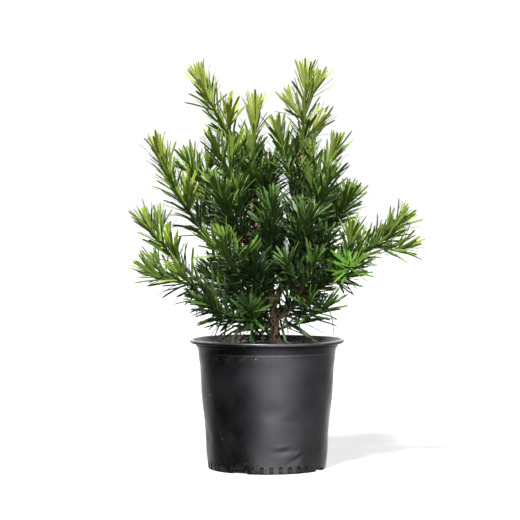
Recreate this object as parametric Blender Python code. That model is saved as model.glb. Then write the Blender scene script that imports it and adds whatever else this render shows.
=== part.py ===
"""A young podocarpus in a black nursery pot, modelled in metres with +Z up.

The origin is the centre of the pot's flat underside, and -Y is the front. The pot holds the potting
mix and the trunk stands on the mix. Limbs leave the trunk, and each mass of foliage is one leafy
shoot with its side twigs. Parts that touch on the real plant are kept GAP apart here.
"""

import math
import random
from typing import NamedTuple

import bmesh
import bpy
import numpy as np
from mathutils import Matrix, Vector

GAP = 0.0003
UP = Vector((0.0, 0.0, 1.0))

# Pot: a thin moulded pot of about 10 litres, wider at the rim than at the foot
POT_SIDES = 32
POT_HEIGHT = 0.2360
WALL = 0.0015
FLOOR = 0.0022
FOOT_RADIUS = 0.1072
FOOT_CHAMFER = 0.0020
SHOULDER_RADIUS = 0.1243
SHOULDER_HEIGHT = 0.2070
COLLAR_RADIUS = 0.1282
COLLAR_HEIGHT = 0.2225
RIM_RADIUS = 0.1400
RIM_DEPTH = 0.0070
RIM_ROUND = 0.0018
MOUTH_RADIUS = 0.1335

# Drain openings round the foot: feet with a row of narrow slots, and a wide low arch between two feet
FEET = 4
SLOTS_IN_FOOT = 6
SLOT_PITCH = math.radians(9)
FIRST_SLOT = math.radians(-95)
SLOT_WIDTH = 0.0075
SLOT_TOP = 0.0135
SLOT_DEPTH = 0.0060
ARCH_WIDTH = 0.0300
ARCH_TOP = 0.0062
ARCH_FLOOR_CUT = 0.0150
OPENING_BEVEL = 0.7

# Potting mix, level at the wall and heaped a little round the trunk
MIX_EDGE_HEIGHT = 0.2225
MIX_HEAP = 0.0055
MIX_HEAP_TOP = 0.020
MIX_HEAP_SLOPE = 0.090
MIX_HEAP_CURVE = 1.5
MIX_BUMP = 0.0012
MIX_SHOULDER = 0.0010
MIX_RINGS = (0.16, 0.38, 0.64, 0.90)
MIX_SEED = 5

# Trunk, from its flat cut on the mix up through the foliage to the foot of the left leader
TRUNK_FOOT = Vector((0.0150, 0.0, MIX_EDGE_HEIGHT + MIX_HEAP + GAP))
TRUNK_TIP = Vector((-0.0490, 0.010, 0.551))
TRUNK_RADIUS = 0.0075
TRUNK_TIP_RADIUS = 0.0029
TRUNK_UPTURN = -0.30
TRUNK_SIDES = 10
TRUNK_RINGS = (0.0, 0.015, 0.035, 0.065, 0.11, 0.18, 0.28, 0.40, 0.52, 0.64, 0.76, 0.88, 1.0)
ROOT_FLARE = 0.0050
ROOT_FLARE_HEIGHT = 0.014
ROOT_LOBES = 4
ROOT_LOBE_DEPTH = 0.3
LIMB_SIDES = 6
LIMB_RING_STEP = 0.030

# Leaves: flat straps, fewer and wider than life so that the crown stays as full
LEAF_LENGTH = 0.058
LEAF_WIDTH = 0.0170
LEAF_THICKNESS = 0.0032
LEAF_WIDEST = 0.45
LEAF_PITCH = 0.0135
LEAF_SPREAD = 0.12
LEAF_ROOT = 0.2
FIRST_LEAF = 0.16
LAST_SPIRAL_LEAF = 0.97
TIP_LEAVES = 4
FIRST_TIP_LEAF = 0.975
TIP_LEAF_STEP = 0.008
TIP_LEAF_ANGLE = math.radians(27)
TIP_LEAF_SHARE = 0.74
UPPER_LEAF_ANGLE = math.radians(40)
LOWER_LEAF_ANGLE = math.radians(66)
LEAF_LIFT = 0.14
LEAF_TWIST = math.radians(35)
LEAF_TRIES = (1.0, 0.8, 0.62)
GOLDEN_ANGLE = math.radians(137.5)

# Stems and side twigs of the leafy shoots, which are three-sided
STEM_SIDES = 3
STEM_RADIUS = 0.0028
STEM_TIP_RADIUS = 0.0015
STEM_RING_STEP = 0.040
TWIG_RADIUS = 0.0019
TWIG_ANGLE = math.radians(46)
TWIG_FIRST = 0.22
TWIG_LAST = 0.85
TWIG_UPTURN = 0.18
TWIG_TRIES = (1.0, 0.75)

# A mass whose union leaves faces or edges a hair apart is dealt its leaves afresh
HAIR = (0.000001, 0.000002, 0.000005)
MASS_TRIES = 8

# Room kept round the bare limbs, the mix and the rim, and on each side of two masses' common border
LIMB_ROOM = 0.0016
MIX_ROOM = 0.0032
SPACE_MARGIN = 0.0012
SAMPLE_STEP = 0.004
TWIG_FOOT_MARKS = 4
LEAF_EDGE_MARKS = 7


class Limb(NamedTuple):
    """A bare limb: what carries it and how far along, its tip, its two radii and how far it turns up."""

    carrier: str
    at: float
    tip: tuple
    radius: float
    tip_radius: float
    upturn: float


class Shoot(NamedTuple):
    """A leafy shoot: what carries it and how far along, its tip, its twigs and how far it turns up.

    The first twig leaves at the angle turn round the stem, in degrees from its upper side, and reach
    is the length of a twig as a share of the stem's.
    """

    carrier: str
    at: float
    tip: tuple
    twigs: int
    turn: float
    reach: float
    upturn: float


LIMBS = {
    "right_stem": Limb("trunk", 0.20, (0.063, -0.010, 0.549), 0.0055, 0.0028, 0.55),
    "bough_left_low": Limb("trunk", 0.08, (-0.114, -0.014, 0.335), 0.0045, 0.0029, 0.05),
    "bough_left_mid": Limb("trunk", 0.26, (-0.095, 0.030, 0.405), 0.0043, 0.0029, 0.05),
    "bough_left_inner": Limb("trunk", 0.42, (-0.090, 0.045, 0.470), 0.0036, 0.0028, 0.10),
    "bough_left_fringe": Limb("trunk", 0.12, (-0.082, -0.042, 0.318), 0.0036, 0.0028, 0.00),
    "bough_left_front": Limb("trunk", 0.19, (-0.042, -0.062, 0.345), 0.0038, 0.0028, 0.10),
    "bough_right_low": Limb("trunk", 0.13, (0.082, -0.012, 0.324), 0.0044, 0.0029, 0.10),
    "bough_right_fringe": Limb("trunk", 0.17, (0.090, -0.046, 0.330), 0.0036, 0.0028, 0.05),
    "bough_right_mid": Limb("right_stem", 0.16, (0.082, 0.012, 0.405), 0.0038, 0.0028, 0.10),
    "bough_back_left": Limb("trunk", 0.22, (-0.038, 0.072, 0.370), 0.0042, 0.0028, 0.10),
    "bough_back_right": Limb("right_stem", 0.10, (0.064, 0.074, 0.380), 0.0040, 0.0028, 0.10),
    "bough_back_low_left": Limb("trunk", 0.11, (-0.030, 0.070, 0.296), 0.0038, 0.0028, 0.05),
    "bough_back_low_right": Limb("trunk", 0.15, (0.058, 0.064, 0.302), 0.0038, 0.0028, 0.05),
}

SHOOTS = {
    "foliage_left_leader": Shoot("trunk", 1.0, (-0.119, 0.012, 0.700), 2, -50, 0.24, 0.15),
    "foliage_left_spur": Shoot("trunk", 0.86, (-0.022, -0.006, 0.643), 0, 0, 0.40, 0.30),
    "foliage_left_shoulder": Shoot("trunk", 0.80, (-0.092, -0.036, 0.579), 1, 0, 0.35, 0.30),
    "foliage_right_leader": Shoot("right_stem", 1.0, (0.071, -0.008, 0.704), 3, 180, 0.19, 0.05),
    "foliage_right_spur": Shoot("right_stem", 0.80, (0.023, -0.034, 0.603), 0, 0, 0.40, 0.20),
    "foliage_right_shoulder": Shoot("right_stem", 0.68, (0.121, -0.020, 0.572), 1, 0, 0.35, 0.35),
    "foliage_left_upper": Shoot("bough_left_mid", 1.0, (-0.198, 0.020, 0.571), 2, -69, 0.28, 0.25),
    "foliage_left_inner": Shoot("bough_left_inner", 1.0, (-0.138, 0.066, 0.552), 1, 25, 0.40, 0.30),
    "foliage_left_core": Shoot("trunk", 0.50, (-0.090, -0.066, 0.505), 1, 0, 0.40, 0.35),
    "foliage_left_arm": Shoot("bough_left_low", 1.0, (-0.214, -0.015, 0.440), 2, -69, 0.32, 0.30),
    "foliage_left_fringe": Shoot("bough_left_fringe", 1.0, (-0.208, -0.060, 0.358), 2, -69, 0.34, 0.20),
    "foliage_left_breast": Shoot("bough_left_front", 1.0, (-0.073, -0.130, 0.405), 2, -69, 0.45, 0.50),
    "foliage_left_foot": Shoot("trunk", 0.06, (-0.100, -0.104, 0.302), 2, -69, 0.36, 0.15),
    "foliage_front_low": Shoot("trunk", 0.09, (-0.022, -0.100, 0.372), 1, 90, 0.35, 0.45),
    "foliage_front": Shoot("trunk", 0.38, (0.010, -0.112, 0.474), 1, 0, 0.40, 0.60),
    "foliage_crotch": Shoot("trunk", 0.64, (0.010, 0.014, 0.545), 1, 0, 0.40, 0.20),
    "foliage_front_right": Shoot("right_stem", 0.30, (0.074, -0.112, 0.452), 1, 0, 0.40, 0.55),
    "foliage_right_core": Shoot("right_stem", 0.50, (0.112, -0.060, 0.522), 1, 0, 0.40, 0.40),
    "foliage_right_breast": Shoot("trunk", 0.12, (0.080, -0.112, 0.372), 2, -69, 0.36, 0.50),
    "foliage_right_foot": Shoot("trunk", 0.07, (0.104, -0.084, 0.296), 2, -69, 0.36, 0.15),
    "foliage_right_arm": Shoot("bough_right_low", 1.0, (0.237, -0.016, 0.444), 2, 15, 0.28, 0.25),
    "foliage_right_fringe": Shoot("bough_right_fringe", 1.0, (0.160, -0.064, 0.366), 2, -69, 0.40, 0.20),
    "foliage_right_upper": Shoot("bough_right_mid", 1.0, (0.146, 0.024, 0.480), 2, -69, 0.42, 0.30),
    "foliage_right_inner": Shoot("right_stem", 0.12, (0.104, -0.060, 0.410), 1, 0, 0.40, 0.40),
    "foliage_back_left": Shoot("bough_back_left", 1.0, (-0.110, 0.160, 0.480), 2, -69, 0.42, 0.40),
    "foliage_back_top": Shoot("trunk", 0.55, (-0.040, 0.106, 0.575), 1, 0, 0.40, 0.40),
    "foliage_back_middle": Shoot("trunk", 0.30, (0.006, 0.150, 0.430), 1, 0, 0.40, 0.40),
    "foliage_back_right": Shoot("bough_back_right", 1.0, (0.126, 0.156, 0.480), 2, -69, 0.42, 0.40),
    "foliage_back_crest": Shoot("right_stem", 0.46, (0.074, 0.100, 0.580), 1, 0, 0.40, 0.40),
    "foliage_back_low_left": Shoot("bough_back_low_left", 1.0, (-0.094, 0.176, 0.355), 2, -69, 0.42, 0.30),
    "foliage_back_low_right": Shoot("bough_back_low_right", 1.0, (0.114, 0.170, 0.355), 2, -69, 0.42, 0.30),
}

MATERIALS = {
    "pot": ((0.020, 0.020, 0.022), 0.42),
    "potting_mix": ((0.070, 0.050, 0.036), 0.95),
    "bark": ((0.190, 0.120, 0.070), 0.85),
    "leaf": ((0.080, 0.140, 0.045), 0.55),
}


def new_material(name, kind):
    """A material of the node's own, in the colour and roughness of its kind."""
    colour, roughness = MATERIALS[kind]
    made = bpy.data.materials.new(name)
    made.use_nodes = True
    shader = made.node_tree.nodes["Principled BSDF"]
    shader.inputs["Base Color"].default_value = (*colour, 1.0)
    shader.inputs["Roughness"].default_value = roughness
    shader.inputs["Metallic"].default_value = 0.0
    return made


def new_object(name, mesh):
    made = bpy.data.objects.new(name, mesh)
    bpy.context.scene.collection.objects.link(made)
    return made


def mesh_of(name, points, faces):
    """A mesh from points and faces, with every face turned outward."""
    mesh = bpy.data.meshes.new(name)
    mesh.from_pydata([tuple(point) for point in points], [], faces)
    shape = bmesh.new()
    shape.from_mesh(mesh)
    bmesh.ops.recalc_face_normals(shape, faces=shape.faces)
    shape.to_mesh(mesh)
    shape.free()
    return mesh


def finish(made, kind, smooth, foot):
    """Gives a node its material and its shading, and puts its origin at its foot."""
    mesh = made.data
    mesh.materials.clear()
    mesh.materials.append(new_material(made.name, kind))
    if smooth:
        mesh.shade_smooth()
    else:
        mesh.shade_flat()
    mesh.transform(Matrix.Translation(-foot))
    made.location = foot


def apply_modifiers(made):
    bpy.context.view_layer.update()
    graph = bpy.context.evaluated_depsgraph_get()
    old = made.data
    made.data = bpy.data.meshes.new_from_object(made.evaluated_get(graph))
    made.modifiers.clear()
    bpy.data.meshes.remove(old)


def remove(made):
    mesh = made.data
    bpy.data.objects.remove(made)
    for material in list(mesh.materials):
        bpy.data.materials.remove(material)
    bpy.data.meshes.remove(mesh)


def cut(made, cutter):
    """Takes the cutter's shape out of the object, and removes the cutter."""
    boolean = made.modifiers.new("cut", "BOOLEAN")
    boolean.operation = "DIFFERENCE"
    boolean.solver = "EXACT"
    boolean.object = cutter
    apply_modifiers(made)
    remove(cutter)


def fuse(made, parts):
    """Joins the parts to the object in one union, and removes the parts."""
    group = bpy.data.collections.new("parts_to_fuse")
    bpy.context.scene.collection.children.link(group)
    for part in parts:
        bpy.context.scene.collection.objects.unlink(part)
        group.objects.link(part)
    boolean = made.modifiers.new("fuse", "BOOLEAN")
    boolean.operation = "UNION"
    boolean.solver = "MANIFOLD"
    boolean.operand_type = "COLLECTION"
    boolean.collection = group
    apply_modifiers(made)
    for part in parts:
        remove(part)
    bpy.data.collections.remove(group)


def keep_outer_shell(made):
    """Drops loose scraps and the walls of sealed hollows: only the largest shell stays."""
    shape = bmesh.new()
    shape.from_mesh(made.data)
    unseen = set(shape.verts)
    shells = []
    while unseen:
        front = [unseen.pop()]
        shell = set(front)
        while front:
            for edge in front.pop().link_edges:
                for vert in edge.verts:
                    if vert in unseen:
                        unseen.remove(vert)
                        shell.add(vert)
                        front.append(vert)
        shells.append(shell)
    largest = max(shells, key=len)
    spare = [vert for shell in shells if shell is not largest for vert in shell]
    bmesh.ops.delete(shape, geom=spare, context="VERTS")
    shape.to_mesh(made.data)
    shape.free()


def turned(name, profile, sides):
    """A body turned about Z from (radius, height) points, the first and the last on the axis."""
    points, rings, faces = [], [], []
    for radius, height in profile:
        first = len(points)
        if radius == 0.0:
            points.append((0.0, 0.0, height))
            rings.append([first] * sides)
            continue
        for side in range(sides):
            angle = math.tau * side / sides
            points.append((radius * math.cos(angle), radius * math.sin(angle), height))
        rings.append(list(range(first, first + sides)))
    for lower, upper in zip(rings, rings[1:]):
        faces += band(lower, upper)
    return mesh_of(name, points, faces)


def band(lower, upper):
    """The faces between two rings of points; a ring may be one point repeated."""
    faces = []
    for side, corner in enumerate(lower):
        after = (side + 1) % len(lower)
        faces.append(tuple(dict.fromkeys((corner, lower[after], upper[after], upper[side]))))
    return faces


def wall_radius(height, inside=False):
    """The pot wall's radius at a height, below or above the shoulder, outside or inside."""
    if height < SHOULDER_HEIGHT:
        share = height / SHOULDER_HEIGHT
        outer = FOOT_RADIUS + (SHOULDER_RADIUS - FOOT_RADIUS) * share
    else:
        share = (height - SHOULDER_HEIGHT) / (COLLAR_HEIGHT - SHOULDER_HEIGHT)
        outer = SHOULDER_RADIUS + (COLLAR_RADIUS - SHOULDER_RADIUS) * share
    return outer - WALL if inside else outer


def pot_profile():
    """The pot's section: along the underside, up the outside, over the rim and down the inside."""
    rim_underside = POT_HEIGHT - RIM_DEPTH
    return [
        (0.0, 0.0),
        (FOOT_RADIUS - FOOT_CHAMFER, 0.0),
        (wall_radius(FOOT_CHAMFER), FOOT_CHAMFER),
        (SHOULDER_RADIUS, SHOULDER_HEIGHT),
        (COLLAR_RADIUS, COLLAR_HEIGHT),
        (RIM_RADIUS - RIM_ROUND, rim_underside),
        (RIM_RADIUS, rim_underside + RIM_ROUND),
        (RIM_RADIUS, POT_HEIGHT - RIM_ROUND),
        (RIM_RADIUS - RIM_ROUND, POT_HEIGHT),
        (MOUTH_RADIUS + RIM_ROUND, POT_HEIGHT),
        (MOUTH_RADIUS, POT_HEIGHT - RIM_ROUND),
        (COLLAR_RADIUS - WALL, COLLAR_HEIGHT),
        (SHOULDER_RADIUS - WALL, SHOULDER_HEIGHT),
        (wall_radius(FLOOR, inside=True), FLOOR),
        (0.0, FLOOR),
    ]


def opening_outline(width, bottom, top):
    """An opening with its two upper corners bevelled, as (across, up) points."""
    edge = width / 2
    bevel = min(edge, top - bottom) * OPENING_BEVEL
    return [
        (-edge, bottom),
        (edge, bottom),
        (edge, top - bevel),
        (edge - bevel, top),
        (bevel - edge, top),
        (-edge, top - bevel),
    ]


def opening_bar(angle, outline, inner_radius):
    """A bar through the foot's wall at an angle round the pot, from an inner radius outward."""
    outward = Vector((math.cos(angle), math.sin(angle), 0.0))
    along = UP.cross(outward)
    ends = (inner_radius, FOOT_RADIUS + ARCH_FLOOR_CUT)
    points = [outward * end + along * over + UP * up for end in ends for over, up in outline]
    count = len(outline)
    near, far = list(range(count)), list(range(count, 2 * count))
    return points, [tuple(near), tuple(far)] + band(near, far)


def drain_openings():
    """All the bars that open the slots and the arches, as one cutter."""
    slot = opening_outline(SLOT_WIDTH, FLOOR, SLOT_TOP)
    arch = opening_outline(ARCH_WIDTH, -ARCH_TOP, ARCH_TOP)
    foot_angle = math.tau / FEET
    bars = []
    for foot in range(FEET):
        first = FIRST_SLOT + foot * foot_angle
        for place in range(SLOTS_IN_FOOT):
            bars.append(opening_bar(first + place * SLOT_PITCH, slot, FOOT_RADIUS - SLOT_DEPTH))
        after_last = (first + (SLOTS_IN_FOOT - 1) * SLOT_PITCH + first + foot_angle) / 2
        bars.append(opening_bar(after_last, arch, FOOT_RADIUS - ARCH_FLOOR_CUT))
    points, faces = [], []
    for bar_points, bar_faces in bars:
        faces += [tuple(corner + len(points) for corner in face) for face in bar_faces]
        points += bar_points
    return new_object("drain_openings", mesh_of("drain_openings", points, faces))


def make_pot():
    pot = new_object("pot", turned("pot", pot_profile(), POT_SIDES))
    cut(pot, drain_openings())
    finish(pot, "pot", smooth=True, foot=Vector((0.0, 0.0, 0.0)))


def mix_height(x, y):
    """The level of the mix at a place, heaped towards the trunk."""
    away = math.hypot(x - TRUNK_FOOT.x, y - TRUNK_FOOT.y)
    nearness = max(0.0, 1.0 - max(0.0, away - MIX_HEAP_TOP) / MIX_HEAP_SLOPE)
    return MIX_EDGE_HEIGHT + MIX_HEAP * nearness**MIX_HEAP_CURVE


def make_mix():
    """A plug of potting mix that fills the pot, with a level pad under the trunk's flat cut."""
    chance = random.Random(MIX_SEED)
    edge_height = MIX_EDGE_HEIGHT - MIX_SHOULDER
    wall = wall_radius(edge_height, inside=True) - GAP
    pad_height = MIX_EDGE_HEIGHT + MIX_HEAP
    foot = Vector((0.0, 0.0, FLOOR + GAP))
    points, rings, faces = [(TRUNK_FOOT.x, TRUNK_FOOT.y, pad_height)], [[0] * POT_SIDES], []
    rows = [(wall * share, TRUNK_FOOT.x * (1 - share), None) for share in MIX_RINGS]
    for height in (edge_height, SHOULDER_HEIGHT, foot.z):
        rows.append((wall_radius(height, inside=True) - GAP, 0.0, height))
    for row, (radius, middle, level) in enumerate(rows):
        first = len(points)
        for spoke in range(POT_SIDES):
            angle = math.tau * spoke / POT_SIDES
            x, y = middle + radius * math.cos(angle), radius * math.sin(angle)
            bump = chance.uniform(-MIX_BUMP, MIX_BUMP)
            height = pad_height if row == 0 else level or mix_height(x, y) + bump
            points.append((x, y, height))
        rings.append(list(range(first, first + POT_SIDES)))
    rings.append([len(points)] * POT_SIDES)
    points.append(foot)
    for inner, outer in zip(rings, rings[1:]):
        faces += band(inner, outer)
    mix = new_object("potting_mix", mesh_of("potting_mix", points, faces))
    finish(mix, "potting_mix", smooth=False, foot=foot)


class Line:
    """A smooth line of growth from a foot to a tip, with a frame carried along it without twist."""

    FRAMES = 32

    def __init__(self, foot, tip, upturn, heading=None):
        chord = (tip - foot).normalized()
        leaving = heading or (chord - UP * upturn).normalized()
        arriving = (chord + UP * upturn).normalized()
        reach = (tip - foot).length / 3
        self.points = (foot, foot + leaving * reach, tip - arriving * reach, tip)
        self.sides = []
        side = leaving.orthogonal()
        for step in range(self.FRAMES + 1):
            heading = self.heading(step / self.FRAMES)
            side = (side - heading * side.dot(heading)).normalized()
            self.sides.append(side)
        marks = [self.at(step / self.FRAMES) for step in range(self.FRAMES + 1)]
        self.length = sum((after - mark).length for mark, after in zip(marks, marks[1:]))

    def at(self, share):
        rest = 1.0 - share
        a, b, c, d = self.points
        return a * rest**3 + b * (3 * rest**2 * share) + c * (3 * rest * share**2) + d * share**3

    def heading(self, share):
        rest = 1.0 - share
        a, b, c, d = self.points
        return ((b - a) * rest**2 + (c - b) * (2 * rest * share) + (d - c) * share**2).normalized()

    def spoke(self, share, angle):
        """A direction square to the line, at an angle round it."""
        heading = self.heading(share)
        side = self.sides[round(share * self.FRAMES)]
        side = (side - heading * side.dot(heading)).normalized()
        return Matrix.Rotation(angle, 3, heading) @ side

    def upper_angle(self, share):
        """The angle round the line at which a spoke points most nearly up."""
        ahead, across = self.spoke(share, 0.0), self.spoke(share, math.pi / 2)
        return math.atan2(across.z, ahead.z)

    def marks(self, step):
        count = max(2, math.ceil(self.length / step))
        return [self.at(index / count) for index in range(count + 1)]


def rings_along(line, step):
    count = max(2, math.ceil(line.length / step))
    return [ring / count for ring in range(count + 1)]


def tube(name, line, radius_at, sides, shares):
    """A closed tube along a line, with a ring at each share of its length and flat square ends."""
    points, rings = [], []
    for share in shares:
        rings.append(list(range(len(points), len(points) + sides)))
        for side in range(sides):
            angle = math.tau * side / sides
            points.append(line.at(share) + line.spoke(share, angle) * radius_at(share, angle))
    faces = [tuple(rings[0]), tuple(rings[-1])]
    for lower, upper in zip(rings, rings[1:]):
        faces += band(lower, upper)
    return new_object(name, mesh_of(name, points, faces))


def taper(radius, tip_radius, extra=0.0):
    return lambda share, angle: radius + (tip_radius - radius) * share + extra


def trunk_radius(extra=0.0):
    """The trunk's radius: an even taper, with a flare in lobes where the roots start."""

    def radius_at(share, angle):
        height = share * (TRUNK_TIP - TRUNK_FOOT).length
        flare = ROOT_FLARE * math.exp(-height / ROOT_FLARE_HEIGHT)
        lobes = 1.0 + ROOT_LOBE_DEPTH * math.cos(ROOT_LOBES * angle)
        return TRUNK_RADIUS + (TRUNK_TIP_RADIUS - TRUNK_RADIUS) * share + flare * lobes + extra

    return radius_at


def limb_radius(name, extra=0.0):
    if name == "trunk":
        return trunk_radius(extra)
    return taper(LIMBS[name].radius, LIMBS[name].tip_radius, extra)


def line_from(lines, carrier, at, tip, upturn):
    """The line of what grows from a carrier: on from its end, or out of its side from its axis."""
    tip = Vector(tip)
    source = lines[carrier]
    if at == 1.0:
        heading = source.heading(1.0)
        return Line(source.at(1.0) + heading * GAP, tip, upturn, heading)
    return Line(source.at(at), tip, upturn)


def limb_lines():
    lines = {"trunk": Line(TRUNK_FOOT, TRUNK_TIP, TRUNK_UPTURN, UP)}
    for name, limb in LIMBS.items():
        lines[name] = line_from(lines, limb.carrier, limb.at, limb.tip, limb.upturn)
    return lines


def limb_tube(name, lines, extra=0.0):
    """A bare limb's solid, or with extra a thicker copy of it."""
    if name == "trunk":
        return tube(name, lines[name], limb_radius(name, extra), TRUNK_SIDES, TRUNK_RINGS)
    shares = rings_along(lines[name], LIMB_RING_STEP)
    return tube(name, lines[name], limb_radius(name, extra), LIMB_SIDES, shares)


def clear_of(made, lines, carrier):
    """Cuts the foot of a limb or stem back until it clears its carrier's surface by GAP."""
    cut(made, limb_tube(carrier, lines, GAP))
    keep_outer_shell(made)


def make_limbs(lines):
    finish(limb_tube("trunk", lines), "bark", smooth=True, foot=TRUNK_FOOT)
    for name, limb in LIMBS.items():
        made = limb_tube(name, lines)
        clear_of(made, lines, limb.carrier)
        finish(made, "bark", smooth=True, foot=lines[name].at(0.0))


class Surroundings:
    """Where every stem and limb runs, to tell whether a place is free and whose space it is in."""

    def __init__(self, lines):
        self.limb_marks, self.limb_radii = [], []
        for name, line in lines.items():
            radius_at = limb_radius(name)
            marks = line.marks(SAMPLE_STEP)
            self.limb_marks += marks
            self.limb_radii += [radius_at(index / (len(marks) - 1), 0.0) for index in range(len(marks))]
        self.limb_marks = np.array(self.limb_marks)
        self.limb_radii = np.array(self.limb_radii)
        self.stem_marks = {}

    def add(self, owner, line):
        marks = np.array(line.marks(SAMPLE_STEP))
        known = self.stem_marks.get(owner)
        self.stem_marks[owner] = marks if known is None else np.vstack((known, marks))

    def off_limbs(self, places):
        reach = np.linalg.norm(places[:, None] - self.limb_marks[None], axis=2) - self.limb_radii
        return reach.min() > LIMB_ROOM

    def off_pot(self, places):
        """True where the places are over the mix or the rim, or outside the pot."""
        for x, y, z in places:
            away = math.hypot(x, y)
            if away < MOUTH_RADIUS - LIMB_ROOM and z < mix_height(x, y) + MIX_ROOM:
                return False
            if away >= MOUTH_RADIUS - LIMB_ROOM and z < POT_HEIGHT + LIMB_ROOM:
                return False
        return True

    def in_own_space(self, owner, places):
        """True where the places are nearer to the owner's stems than to those of any other mass."""
        own = np.linalg.norm(places[:, None] - self.stem_marks[owner][None], axis=2).min(axis=1)
        others = np.vstack([marks for name, marks in self.stem_marks.items() if name != owner])
        other = np.linalg.norm(places[:, None] - others[None], axis=2).min(axis=1)
        return bool((own + 2 * SPACE_MARGIN < other).all())

    def free(self, owner, places):
        places = np.array(places)
        return self.off_pot(places) and self.off_limbs(places) and self.in_own_space(owner, places)


def twig_lines(name, shoot, stem, around):
    """The side twigs of a shoot, at golden-angle turns round its stem, where there is room."""
    lines = []
    for index in range(shoot.twigs):
        share = TWIG_FIRST + (TWIG_LAST - TWIG_FIRST) * (index + 0.5) / shoot.twigs
        angle = stem.upper_angle(share) + math.radians(shoot.turn) + index * GOLDEN_ANGLE
        outward = stem.heading(share) * math.cos(TWIG_ANGLE)
        outward += stem.spoke(share, angle) * math.sin(TWIG_ANGLE)
        for reach in TWIG_TRIES:
            foot = stem.at(share)
            tip = foot + outward * stem.length * shoot.reach * reach
            line = Line(foot, tip, TWIG_UPTURN)
            if around.free(name, line.marks(SAMPLE_STEP)[TWIG_FOOT_MARKS:]):
                lines.append(line)
                break
    return lines


class Leaf:
    """A flat strap in six faces: pointed at its root and tip, with a ridge over its widest place."""

    def __init__(self, root, along, across, length):
        self.root = root
        self.along = along.normalized()
        self.across = (across - self.along * across.dot(self.along)).normalized()
        self.length = length

    def corners(self):
        face = self.along.cross(self.across)
        middle = self.root + self.along * self.length * LEAF_WIDEST
        return [
            self.root,
            middle + self.across * LEAF_WIDTH / 2,
            middle - self.across * LEAF_WIDTH / 2,
            middle + face * LEAF_THICKNESS,
            self.root + self.along * self.length,
        ]

    def places(self):
        """Places all over the outer part of the leaf, to try against its surroundings."""
        root, left, right, ridge, tip = self.corners()
        edges = ((root, left), (root, right), (left, tip), (right, tip), (root, ridge), (ridge, tip))
        shares = [mark / (LEAF_EDGE_MARKS - 1) for mark in range(LEAF_EDGE_MARKS)]
        found = [a.lerp(b, share) for a, b in edges for share in shares]
        return [place for place in found if (place - root).length > LEAF_ROOT * self.length]

    def make(self):
        faces = [(0, 1, 2), (4, 2, 1), (0, 3, 1), (0, 2, 3), (4, 1, 3), (4, 3, 2)]
        return new_object("leaf", mesh_of("leaf", self.corners(), faces))


def leaf_on(line, share, angle, lean, length, chance):
    """A leaf leaning off a line, its face turned towards the shoot's tip give or take a twist."""
    spoke = line.spoke(share, angle)
    along = line.heading(share) * math.cos(lean) + spoke * math.sin(lean) + UP * LEAF_LIFT
    twist = chance.uniform(-LEAF_TWIST, LEAF_TWIST)
    across = Matrix.Rotation(twist, 3, along.normalized()) @ line.heading(share).cross(spoke)
    return Leaf(line.at(share), along, across, length)


def leaves_along(name, line, chance, around):
    """The leaves of one stem or twig: a spiral along it and a close tuft at its tip."""
    leaves = []
    count = int(line.length * (1.0 - FIRST_LEAF) / LEAF_PITCH)
    turn = chance.uniform(0.0, math.tau)
    for index in range(count + TIP_LEAVES):
        angle = turn + index * GOLDEN_ANGLE
        if index < count:
            along = (index + 0.5) / count
            share = FIRST_LEAF + (LAST_SPIRAL_LEAF - FIRST_LEAF) * along
            lean = LOWER_LEAF_ANGLE + (UPPER_LEAF_ANGLE - LOWER_LEAF_ANGLE) * along
            length = LEAF_LENGTH * chance.uniform(1 - LEAF_SPREAD, 1 + LEAF_SPREAD)
        else:
            share = FIRST_TIP_LEAF + TIP_LEAF_STEP * (index - count)
            lean = TIP_LEAF_ANGLE
            length = LEAF_LENGTH * TIP_LEAF_SHARE * chance.uniform(1 - LEAF_SPREAD, 1 + LEAF_SPREAD)
        for reach in LEAF_TRIES:
            leaf = leaf_on(line, share, angle, lean, length * reach, chance)
            if around.free(name, leaf.places()):
                leaves.append(leaf)
                break
    return leaves


def stem_tube(name, line, radius):
    return tube(name, line, taper(radius, STEM_TIP_RADIUS), STEM_SIDES, rings_along(line, STEM_RING_STEP))


def make_mass(name, lines, stem_line, twigs, chance, around):
    """One mass of foliage: its stem, twigs and leaves joined in one union."""
    shoot = SHOOTS[name]
    mass = stem_tube(name, stem_line, STEM_RADIUS)
    if shoot.at < 1.0:
        clear_of(mass, lines, shoot.carrier)
    parts = [stem_tube("twig", line, TWIG_RADIUS) for line in twigs]
    for line in [stem_line, *twigs]:
        parts += [leaf.make() for leaf in leaves_along(name, line, chance, around)]
    fuse(mass, parts)
    keep_outer_shell(mass)
    finish(mass, "leaf", smooth=False, foot=stem_line.at(0.0))
    return mass


def is_sound(made):
    """True where every edge still has two faces once the corners a hair apart are merged."""
    for distance in HAIR:
        shape = bmesh.new()
        shape.from_mesh(made.data)
        bmesh.ops.triangulate(shape, faces=shape.faces)
        bmesh.ops.remove_doubles(shape, verts=shape.verts, dist=distance)
        sound = all(len(edge.link_faces) == 2 for edge in shape.edges)
        shape.free()
        if not sound:
            return False
    return True


def make_foliage(lines):
    """Every mass: first where all the stems and twigs run, then the leaves that find room."""
    around = Surroundings(lines)
    stems = {
        name: line_from(lines, shoot.carrier, shoot.at, shoot.tip, shoot.upturn)
        for name, shoot in SHOOTS.items()
    }
    for name, stem in stems.items():
        around.add(name, stem)
    twigs = {name: twig_lines(name, shoot, stems[name], around) for name, shoot in SHOOTS.items()}
    for name, lines_of_twigs in twigs.items():
        for line in lines_of_twigs:
            around.add(name, line)
    for number, name in enumerate(SHOOTS):
        for attempt in range(MASS_TRIES):
            chance = random.Random(number + attempt * len(SHOOTS))
            mass = make_mass(name, lines, stems[name], twigs[name], chance, around)
            if is_sound(mass):
                break
            remove(mass)
        else:
            raise RuntimeError(f"no sound union for {name} in {MASS_TRIES} deals of its leaves")


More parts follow.
